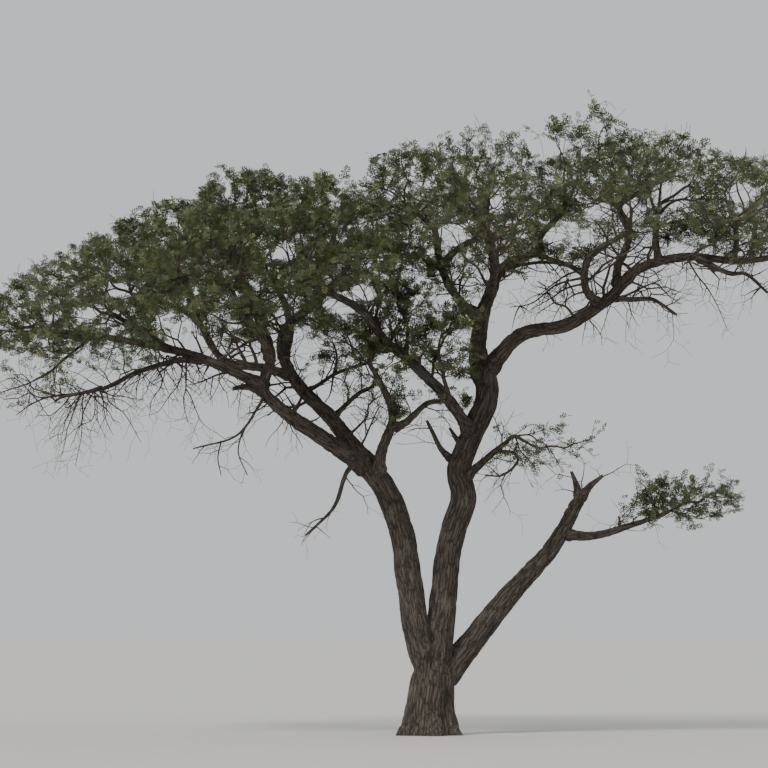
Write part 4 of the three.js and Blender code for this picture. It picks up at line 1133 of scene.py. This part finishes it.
def twig_lines(growth):
    """The nodes of a mass as lines that fork off one another, each with its radii."""
    load = loads(growth)
    thick = np.minimum(growth.stout, TWIG_TIP_RADIUS * np.maximum(load, 1) ** TWIG_THICKENING)
    children = [[] for _ in growth.at]
    for i, parent in enumerate(growth.parent):
        if parent >= 0:
            children[parent].append(i)
    at = np.array(growth.at)
    lines = []
    waiting = [(0, child) for child in children[0]]
    while waiting:
        start, node = waiting.pop()
        path = [start, node]
        while children[node]:
            ranked = sorted(children[node], key=lambda c: -load[c])
            waiting += [(node, other) for other in ranked[1:]]
            node = ranked[0]
            path.append(node)
        radii = thick[path].copy()
        radii[0] = radii[1]
        lines.append(curved(at[path], radii) if radii[0] > STOUT_TWIG else (at[path], radii))
    return lines


def bent_branch(lines, rng, start, heading, length, radius, lift, orders=BRANCH_ORDERS):
    """Adds a branch that bends sharply at its knees, with a fork at each."""
    goal = heading
    points, knees = [start], []
    to_knee = rng.uniform(*KNEE_SPACING)
    bend = rng.normal(size=3) * BRANCH_BEND
    for _ in range(max(3, round(length / BRANCH_STEP))):
        to_knee -= BRANCH_STEP
        if to_knee < 0:
            aside = unit(np.cross(heading, rng.normal(size=3)))
            knees.append((len(points) - 1, unit(heading * 0.7 - aside * 0.8)))
            heading = unit(heading + aside * rng.uniform(*KNEE_TURN))
            bend = rng.normal(size=3) * BRANCH_BEND
            to_knee = rng.uniform(*KNEE_SPACING)
        heading = unit(heading + bend + goal * BRANCH_PULL + UP * lift)
        points.append(points[-1] + heading * BRANCH_STEP)
    radii = np.maximum(radius * np.linspace(1, BRANCH_TAPER, len(points)), BARE_TIP_RADIUS)
    lines.append((np.array(points), radii))
    if orders > 0:
        for k, aside in knees:
            reach = length * rng.uniform(*FORK_LENGTH)
            bent_branch(lines, rng, points[k], aside, reach, radii[k] * FORK_THINNING, lift, orders - 1)


def twig_spacing(limb):
    if limb.is_broken or limb.name.startswith("dead"):
        return DEAD_TWIG_SPACING
    return MAIN_TWIG_SPACING if limb.is_main else FINE_TWIG_SPACING


def side_twigs(rng):
    """Fine twigs on the boughs under the crown, as lines with radii."""
    lines = []
    for limb in TREE_LIMBS:
        if limb.is_stem:
            continue
        first = THIN_BOUGH_START if limb.radii[0] < THIN_BOUGH else STOUT_BOUGH_START
        for run in np.arange(first * limb.length, limb.length * 0.99, twig_spacing(limb)):
            i, along = limb.heading_at(run)
            out = unit(np.cross(along, rng.normal(size=3)))
            lift = rng.choice(SIDE_TWIG_LIFTS)
            length = rng.uniform(*SIDE_TWIG_LENGTH) * (THIN_END_LENGTH if limb.radii[i] < THIN_END else 1)
            radius = min(rng.uniform(*SIDE_TWIG_RADIUS), 0.7 * limb.radii[i])
            root = limb.points[i] + out * limb.radii[i] * ROOT_DEPTH
            bent_branch(lines, rng, root, unit(out + 0.7 * along), length, radius, lift)
    return [line for line in lines if room_above(line[0]).min() > 0]


def inner_branches(rng):
    """Crooked branches from the main boughs up into the crown, as lines with radii."""
    lines = []
    for limb in TREE_LIMBS:
        in_crown = limb.points[:, 2].mean() > INNER_CROWN_HEIGHT and limb.radii[0] > INNER_BOUGH_RADIUS
        if not in_crown or limb.name in STEMS or limb.is_broken:
            continue
        for run in np.arange(0.3 * limb.length, limb.length * 0.98, INNER_SPACING):
            i, along = limb.heading_at(run)
            out = unit(rng.normal(size=3) * (1, 1, 0.5) + UP * 0.8)
            out = unit(out - along * out.dot(along))
            radius = min(INNER_RADIUS, INNER_THINNING * limb.radii[i]) * rng.uniform(0.6, 1)
            length = rng.uniform(*INNER_LENGTH)
            bent_branch(lines, rng, limb.points[i], unit(out + 0.5 * along), length, radius, INNER_LIFT)
    low, high = np.array(CAD_BOX)
    return [line for line in lines if (line[0] > low).all() and (line[0] < high).all()
            and in_opening(line[0]).mean() < 0.2 and room_above(line[0]).min() > EDGE_ROOM[0]]


def hanging_twigs(rng):
    """Long bare twigs that hang under the left end of the crown and in a few other places."""
    lines = []
    for spot, count, drop in HANGING_SPOTS:
        for _ in range(count):
            heading = unit(np.array((rng.normal() * 0.9, rng.normal() * 0.6, -0.5)))
            length = drop * rng.uniform(*HANGING_LENGTH)
            radius = rng.uniform(*HANGING_RADIUS)
            bent_branch(lines, rng, np.array(spot), heading, length, radius, HANGING_LIFT)
    return lines


def tufts(growths, rng):
    """Each tuft's lines, twigs all round a middle and a few that hold it, and its leafiness."""
    holds = np.vstack([limb.points for limb in TREE_LIMBS] + [np.array(growth.at) for growth in growths])
    found = []
    for centre, radius, leafiness in TUFTS:
        lines = []
        centre = np.array(centre)
        order = np.argsort(lengths(holds - centre))[:TUFT_HOLDS]
        for near in holds[order]:
            middle = mix(near, centre, 0.5) + rng.normal(size=3) * 0.02
            lines.append((np.array((near, middle, centre)), np.array(TUFT_HOLD_RADII)))
        for _ in range(round(TUFT_TWIGS * radius)):
            heading = unit(rng.normal(size=3) * (1, 1, 0.7))
            points = [centre + rng.normal(size=3) * radius * TUFT_SPREAD]
            for _ in range(TUFT_STEPS):
                points.append(points[-1] + heading * radius * rng.uniform(*TUFT_STEP))
                heading = unit(heading + rng.normal(size=3) * TUFT_SWAY)
            lines.append((np.array(points), np.linspace(*TUFT_TWIG_RADII, len(points))))
        found.append((lines, leafiness))
    return found


def twig_tube(skin, points, radii):
    sides = next(count for least, count in TUBE_SIDES if radii.max() > least)
    _, side, up = frames_along(points)
    angles = ring_angles(sides)[None, :, None]
    cos, sin = np.cos(angles), np.sin(angles)
    skin.tube(points[:, None] + radii[:, None, None] * (cos * side[:, None] + sin * up[:, None]))


def sprays_on(lines, leafiness, rng):
    """Where sprays sit: all round the last stretch of each thin line, lying out from it fairly flat."""
    roots, alongs, faces = [], [], []
    for points, radii in lines:
        if radii[-1] > SPRAYING_RADIUS:
            continue
        run = run_along(points)
        marks = run[-1] - np.arange(0, min(SPRAY_RUN, run[-1]), SPRAY_STEP)
        marks = marks[rng.uniform(size=len(marks)) < leafiness]
        if not len(marks):
            continue
        heading = unit(points[-1] - points[-2])
        side = unit(np.cross(heading, UP) + 1e-6)
        turn = rng.uniform(0, 2 * math.pi, len(marks))
        out = np.cos(turn)[:, None] * side + np.sin(turn)[:, None] * np.cross(side, heading)
        along = heading * rng.uniform(*SPRAY_FORWARD, (len(marks), 1)) + out + UP * SPRAY_LIFT
        roots.append(points_at(marks, run, points))
        alongs.append(unit(along * (1, 1, SPRAY_RISE)))
        faces.append(unit(UP + rng.normal(size=(len(marks), 3)) * SPRAY_ROLL))
    return (np.vstack(roots), np.vstack(alongs), np.vstack(faces)) if roots else None


def mesh_from(build, name):
    mesh = bpy.data.meshes.new(name)
    build.to_mesh(mesh)
    build.free()
    return mesh


def spray_mesh(length):
    """One spray: narrow leaflet blades in pairs on a stalk."""
    build = bmesh.new()
    for start, reach, turn in LEAFLETS:
        root = Vector((start * length, 0, 0))
        heading = Vector((math.cos(turn), math.sin(turn), LEAFLET_RISE))
        across = Vector((-math.sin(turn), math.cos(turn), 0.0))
        tip = root + heading * reach * length
        waist = root + heading * reach * length * 0.5
        half = across * LEAFLET_HALF_WIDTH * length
        corners = [root, waist + half + Vector((0, 0, LEAFLET_FOLD * length)), tip, waist - half]
        build.faces.new([build.verts.new(c) for c in corners])
    build.faces.new([build.verts.new((along * length, aside * length, 0)) for along, aside in STALK])
    return mesh_from(build, "spray")


def thorn_mesh():
    """A pair of straight thorns: two slim spikes that part from one foot."""
    build = bmesh.new()
    for side in (-1, 1):
        tip = build.verts.new((0.55, side * 0.75, 0.1))
        foot = [build.verts.new((0.06 * math.cos(a), 0.06 * math.sin(a), 0.05 * math.sin(a + 1)))
                for a in THORN_FOOT]
        for k in range(3):
            build.faces.new((foot[k], foot[(k + 1) % 3], tip))
        build.faces.new(foot[::-1])
    bmesh.ops.recalc_face_normals(build, faces=build.faces)
    return mesh_from(build, "thorn")


def scatter_group(name):
    """A node tree that puts one small object on every point, turned by the point's own directions."""
    tree = bpy.data.node_groups.new(name, "GeometryNodeTree")
    tree.interface.new_socket("Geometry", in_out="INPUT", socket_type="NodeSocketGeometry")
    sockets = {}
    for label, kind in {"Object": "Object", "Material": "Material", "Size": "Float"}.items():
        made = tree.interface.new_socket(label, in_out="INPUT", socket_type="NodeSocket" + kind)
        sockets[label] = made.identifier
    tree.interface.new_socket("Geometry", in_out="OUTPUT", socket_type="NodeSocketGeometry")
    node = Nodes(tree).node
    entry = node("NodeGroupInput").outputs
    thing = node("GeometryNodeObjectInfo", None, {"Object": entry["Object"]})
    along, face, size = (
        node("GeometryNodeInputNamedAttribute", {"data_type": kind}, {"Name": mark}).outputs[0]
        for mark, kind in (("along", "FLOAT_VECTOR"), ("face", "FLOAT_VECTOR"), ("size", "FLOAT")))
    turn = node("FunctionNodeAxesToRotation", {"primary_axis": "X", "secondary_axis": "Z"},
                {"Primary Axis": along, "Secondary Axis": face})
    scaled = node("ShaderNodeMath", {"operation": "MULTIPLY"}, [size, entry["Size"]])
    placed = node("GeometryNodeInstanceOnPoints", None,
                  {"Points": entry["Geometry"], "Instance": thing.outputs["Geometry"],
                   "Rotation": turn.outputs[0], "Scale": scaled.outputs[0]})
    real = node("GeometryNodeRealizeInstances", None, {"Geometry": placed.outputs[0]})
    painted = node("GeometryNodeSetMaterial", None,
                   {"Geometry": real.outputs[0], "Material": entry["Material"]})
    node("NodeGroupOutput", None, {"Geometry": painted.outputs[0]})
    return tree, sockets


def scatter(name, small, points, along, face, size, material):
    """Copies a small mesh onto many points and keeps the result as one plain mesh."""
    cloud = bpy.data.meshes.new(name + "_points")
    add_points(cloud, points)
    marks = {"along": along, "face": face, "size": size}
    for mark, values in marks.items():
        store(cloud, mark, values)
    holder = in_scene(name + "_points", cloud)
    model = in_scene(name + "_model", small)
    tree, sockets = scatter_group(name + "_growth")
    modifier = holder.modifiers.new("growth", "NODES")
    modifier.node_group = tree
    for label, value in {"Object": model, "Material": material, "Size": 1.0}.items():
        modifier[sockets[label]] = value
    mesh = evaluated_mesh(holder)
    for mark in marks:
        if mark in mesh.attributes:
            mesh.attributes.remove(mesh.attributes[mark])
    bpy.data.objects.remove(holder)
    bpy.data.objects.remove(model)
    bpy.data.node_groups.remove(tree)
    if not len(mesh.polygons):
        raise RuntimeError(f"{name} came out empty")
    return show(name, mesh, material, smooth=False)


class Plant:
    """What the operators share: the masses' twigs, and the other lines that carry leaves."""
    growths = []
    side_lines = []
    tufts = []


class BarkOperator(bpy.types.Operator):
    """Makes the trunk, stems and boughs under fissured bark"""
    bl_idname = "acacia.bark"
    bl_label = "Bark"

    def execute(self, context):
        look = context.scene.acacia_bark
        finish = bark_finish("fissured_bark", look.plate, look.furrow, look.lichen)
        piece = show("trunk_and_stems", self.joined_stems(look.depth), finish)
        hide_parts(*STEMS)
        skins = {"left_boughs": Skin(), "right_boughs": Skin()}
        names = {key: [] for key in skins}
        for limb in TREE_LIMBS:
            if limb.is_stem:
                continue
            key = "left_boughs" if limb.points[:, 0].mean() < BOUGH_DIVIDE else "right_boughs"
            if limb.is_main:
                names[key].append(limb.name)
            bough_tube(skins[key], limb)
        for key, skin in skins.items():
            mesh = skin.mesh(key)
            store(mesh, "relief", np.concatenate(skin.values))
            store(mesh, "grain", np.vstack(skin.grains))
            piece = show(key, mesh, finish)
            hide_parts(*names[key])
        return {"FINISHED"}

    def joined_stems(self, deepest):
        """Trunk, stems and the feet of the main boughs, melted into one skin and then given bark."""
        skin = Skin()
        limbs = [one for one in TREE_LIMBS if one.is_main and one.name in STEMS + CROTCH_BOUGHS]
        for limb in limbs:
            axis = limb.axis
            if limb.is_stem:
                left = limb.length - limb.runs if limb.name == "trunk" else limb.runs
                hidden = np.clip(1 - left / SUNK_LENGTH, 0, 1)
                radii = limb.radii * limb.lumps * (1 - SUNK_SHRINK * hidden * hidden)
            else:
                keep = limb.runs <= CROTCH_LENGTH
                axis = axis[keep]
                left = (CROTCH_LENGTH - limb.runs[keep]) / CROTCH_BLEND
                radii = collared(limb)[keep] * (1 - CROTCH_SHRINK * (1 - np.clip(left, 0, 1)))
            rings, _, _ = limb_rings(limb, STEM_SIDES, axis, radii)
            if limb.name == "trunk":
                rings[0][:, 2] = 0
                rings = np.concatenate((rings[:1] - (0, 0, TRUNK_SUNK), rings))
            skin.tube(rings)
        draft = in_scene("stems_draft", skin.mesh("stems_draft"))
        melt = draft.modifiers.new("melt", "REMESH")
        melt.mode, melt.voxel_size = "VOXEL", SKIN_VOXEL
        relax = draft.modifiers.new("relax", "SMOOTH")
        relax.factor, relax.iterations = SKIN_RELAX
        mesh = evaluated_mesh(draft)
        bpy.data.objects.remove(draft)
        self.engrave(mesh, limbs, deepest)
        return mesh

    def engrave(self, mesh, limbs, deepest):
        """Pushes bark relief into a smooth skin along each limb's grain, blended where limbs meet."""
        count = len(mesh.vertices)
        points, normals = np.empty(count * 3, np.float32), np.empty(count * 3, np.float32)
        mesh.vertices.foreach_get("co", points)
        mesh.vertices.foreach_get("normal", normals)
        points, normals = points.reshape(-1, 3).astype(float), normals.reshape(-1, 3).astype(float)
        found = [point_gaps(points, one.axis[:-1], one.axis[1:], one.radii[:-1]) for one in limbs]
        nearest = np.min([gaps for gaps, _ in found], axis=0)
        total, height, push = np.zeros(count), np.zeros(count), np.zeros(count)
        grain = np.zeros((count, 3))
        for limb, (gaps, which) in zip(limbs, found):
            weight = np.exp(-(gaps - nearest) / SEAM_BLEND)
            near = np.flatnonzero(weight > SEAM_LEAST)
            share = weight[near]
            radius = limb.radii[which[near]]
            place = self.place_on(limb, points[near], which[near])
            own_height = bark_relief(place, radius)
            total[near] += share
            height[near] += share * own_height
            push[near] += share * own_height * np.minimum(deepest, RELIEF_SHARE * radius)
            grain[near] += share[:, None] * place
        shaped = points + normals * (push / total)[:, None]
        shaped[:, 2] = np.maximum(shaped[:, 2], 0)
        mesh.vertices.foreach_set("co", shaped.astype(np.float32).ravel())
        mesh.update()
        store(mesh, "relief", height / total)
        store(mesh, "grain", grain / total[:, None])

    def place_on(self, limb, points, which):
        """Where points lie across and along a limb."""
        along = unit(np.diff(limb.axis, axis=0))[which]
        _, side, up = frames_along(limb.axis)
        arm = points - limb.axis[which]
        run = limb.runs[which] + (arm * along).sum(1)
        return np.stack(((arm * side[which]).sum(1), (arm * up[which]).sum(1), run), 1) + limb.offset


class TwigsOperator(bpy.types.Operator):
    """Grows the twigs of every mass from its bough's tip, and bare twigs on the boughs"""
    bl_idname = "acacia.twigs"
    bl_label = "Twigs"

    def execute(self, context):
        finish = twig_finish("twig_bark", context.scene.acacia_bark.twig)
        limbs = capsules(TREE_LIMBS)
        Plant.growths = [Growth(row) for row in MASSES]
        first_seed, seed_step = MASS_SEEDS
        for n, growth in enumerate(Plant.growths):
            grow_mass(growth, Plant.growths, first_seed + seed_step * n, limbs)
            growth.lines = twig_lines(growth)
        rng = np.random.default_rng(BRANCH_SEED)
        side = side_twigs(rng)
        inner = inner_branches(rng)
        Plant.side_lines = side + inner
        Plant.tufts = tufts(Plant.growths, rng)
        pieces = {"left_twigs": [], "right_twigs": []}
        names = {key: [] for key in pieces}
        for growth in Plant.growths:
            key = "left_twigs" if growth.centre[0] < TWIG_DIVIDE else "right_twigs"
            pieces[key] += growth.lines
            names[key].append(growth.name)
        pieces["side_twigs"] = side + hanging_twigs(rng)
        for lines, _ in Plant.tufts:
            pieces["side_twigs"] += lines
        pieces["inner_branches"] = inner
        for key, lines in pieces.items():
            skin = Skin()
            for points, radii in lines:
                twig_tube(skin, points, radii)
            if skin.triangles() > PIECE_LIMIT:
                raise RuntimeError(f"{key} has {skin.triangles()} triangles")
            piece = show(key, skin.mesh(key), finish)
            if key in names:
                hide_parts(*names[key])
        return {"FINISHED"}


class LeavesOperator(bpy.types.Operator):
    """Puts sprays of leaflets on the twigs, each spray in one of four colours"""
    bl_idname = "acacia.leaves"
    bl_label = "Leaves"

    def execute(self, context):
        look = context.scene.acacia_leaf
        rng = np.random.default_rng(LEAF_SEED)
        found = [sprays_on(growth.lines, min(1.0, growth.leafiness), rng) for growth in Plant.growths]
        tips = np.array([points[-1] for points, _ in Plant.side_lines])
        depths = np.array([growth.depth(tips) for growth in Plant.growths])
        nearest = np.where(depths.min(0) < SIDE_LEAF_DEPTH, depths.argmin(0), -1)
        for n, growth in enumerate(Plant.growths):
            mine = [Plant.side_lines[i] for i in np.flatnonzero(nearest == n)]
            found.append(sprays_on(mine, SIDE_LEAFINESS * min(1.0, growth.leafiness), rng))
        found += [sprays_on(lines, leafiness, rng) for lines, leafiness in Plant.tufts]
        roots, alongs, faces = (np.vstack(parts) for parts in zip(*(some for some in found if some)))
        gaps, _ = point_gaps(roots, *capsules(TREE_LIMBS))
        keep = gaps > SPRAY_CLEARANCE
        roots, alongs, faces = roots[keep], alongs[keep], faces[keep]
        size = rng.uniform(*SPRAY_SIZE, len(roots))
        low, high = np.array(CAD_BOX)
        reach = roots + alongs * (size * look.length)[:, None]
        inside = ((reach > low - BOX_ROOM) & (reach < high + BOX_ROOM)).all(1) & ~in_opening(reach)
        inside &= room_above(reach) > -SPRAY_OVERHANG * rng.uniform(size=len(reach))
        roots, alongs, faces, size = roots[inside], alongs[inside], faces[inside], size[inside]
        deal = rng.choice(len(COLOUR_SHARES), len(roots), p=list(COLOUR_SHARES.values()))
        small = spray_mesh(look.length)
        each = 2 * len(small.polygons)
        for n, colour in enumerate(COLOUR_SHARES):
            finish = leaf_finish(f"{colour}_leaves", getattr(look, colour))
            mine = np.flatnonzero(deal == n)
            for k, some in enumerate(np.array_split(mine, math.ceil(len(mine) * each / PIECE_LIMIT))):
                piece = scatter(f"{colour}_leaves_{k + 1}", small.copy(), roots[some], alongs[some],
                                faces[some], size[some], finish)
        return {"FINISHED"}


class ThornsOperator(bpy.types.Operator):
    """Sets pairs of straight thorns on the outer twigs"""
    bl_idname = "acacia.thorns"
    bl_label = "Thorns"

    def execute(self, context):
        rng = np.random.default_rng(THORN_SEED)
        finish = twig_finish("pale_thorns", context.scene.acacia_bark.thorn)
        roots, alongs = [], []
        for growth in Plant.growths:
            for points, _ in growth.lines:
                if len(points) > 2 and rng.uniform() < THORN_SHARE:
                    i = rng.integers(1, len(points) - 1)
                    roots.append(points[i])
                    alongs.append(points[i + 1] - points[i])
        roots, alongs = np.array(roots), unit(np.array(alongs))
        faces = unit(rng.normal(size=roots.shape))
        size = rng.uniform(*THORN_SIZE, len(roots))
        piece = scatter("paired_thorns", thorn_mesh(), roots, alongs, faces, size, finish)
        return {"FINISHED"}


class StageOperator(bpy.types.Operator):
    """Lays the pale floor, sets the soft lights and places the camera"""
    bl_idname = "acacia.stage"
    bl_label = "Stage"

    def execute(self, context):
        scene = context.scene
        look = scene.acacia_stage
        build = bmesh.new()
        bmesh.ops.create_grid(build, x_segments=1, y_segments=1, size=FLOOR_HALF_WIDTH)
        floor = in_scene("floor", mesh_from(build, "floor"))
        floor.data.materials.append(Finish("pale_floor").set(Base_Color=rgba(look.floor), Roughness=0.9))
        scene.world = bpy.data.worlds.new("soft_sky")
        scene.world.use_nodes = True
        background = scene.world.node_tree.nodes["Background"].inputs
        background[0].default_value = rgba(look.sky)
        background[1].default_value = look.sky_light
        sun = bpy.data.lights.new("key", "SUN")
        sun.energy = look.sun_light
        sun.angle = math.radians(KEY_SPREAD)
        in_scene("key", sun).rotation_euler = [math.radians(turn) for turn in KEY_TURN]
        lens = bpy.data.cameras.new("view")
        lens.sensor_width = SENSOR_WIDTH
        lens.lens = look.lens
        lens.clip_start, lens.clip_end = VIEW_RANGE
        scene.camera = in_scene("view", lens)
        scene.camera.location = look.stand
        scene.camera.rotation_euler = (math.pi / 2 + look.tilt, 0, 0)
        return {"FINISHED"}


class AcaciaPanel(bpy.types.Panel):
    """Shows a button for each step of the tree, and the bark, leaf and stage settings"""
    bl_idname = "VIEW3D_PT_acacia"
    bl_label = "Acacia"
    bl_space_type = "VIEW_3D"
    bl_region_type = "UI"
    bl_category = "Acacia"

    def draw(self, context):
        for operator in OPERATORS:
            self.layout.operator(operator.bl_idname)
        for group in GROUPS:
            settings = getattr(context.scene, group)
            for name in settings.__annotations__:
                self.layout.prop(settings, name)


OPERATORS = (BarkOperator, TwigsOperator, LeavesOperator, ThornsOperator, StageOperator)
GROUPS = {"acacia_bark": BarkSettings, "acacia_leaf": LeafSettings, "acacia_stage": StageSettings}


def register():
    for cls in (*GROUPS.values(), *OPERATORS, AcaciaPanel):
        bpy.utils.register_class(cls)
    for name, group in GROUPS.items():
        setattr(bpy.types.Scene, name, bpy.props.PointerProperty(type=group))


def unregister():
    for name in GROUPS:
        delattr(bpy.types.Scene, name)
    for cls in (AcaciaPanel, *OPERATORS, *GROUPS.values()):
        bpy.utils.unregister_class(cls)


def main():
    register()
    bpy.ops.acacia.stage()
    bpy.ops.acacia.bark()
    bpy.ops.acacia.twigs()
    bpy.ops.acacia.leaves()
    bpy.ops.acacia.thorns()


if __name__ == "__main__":
    main()
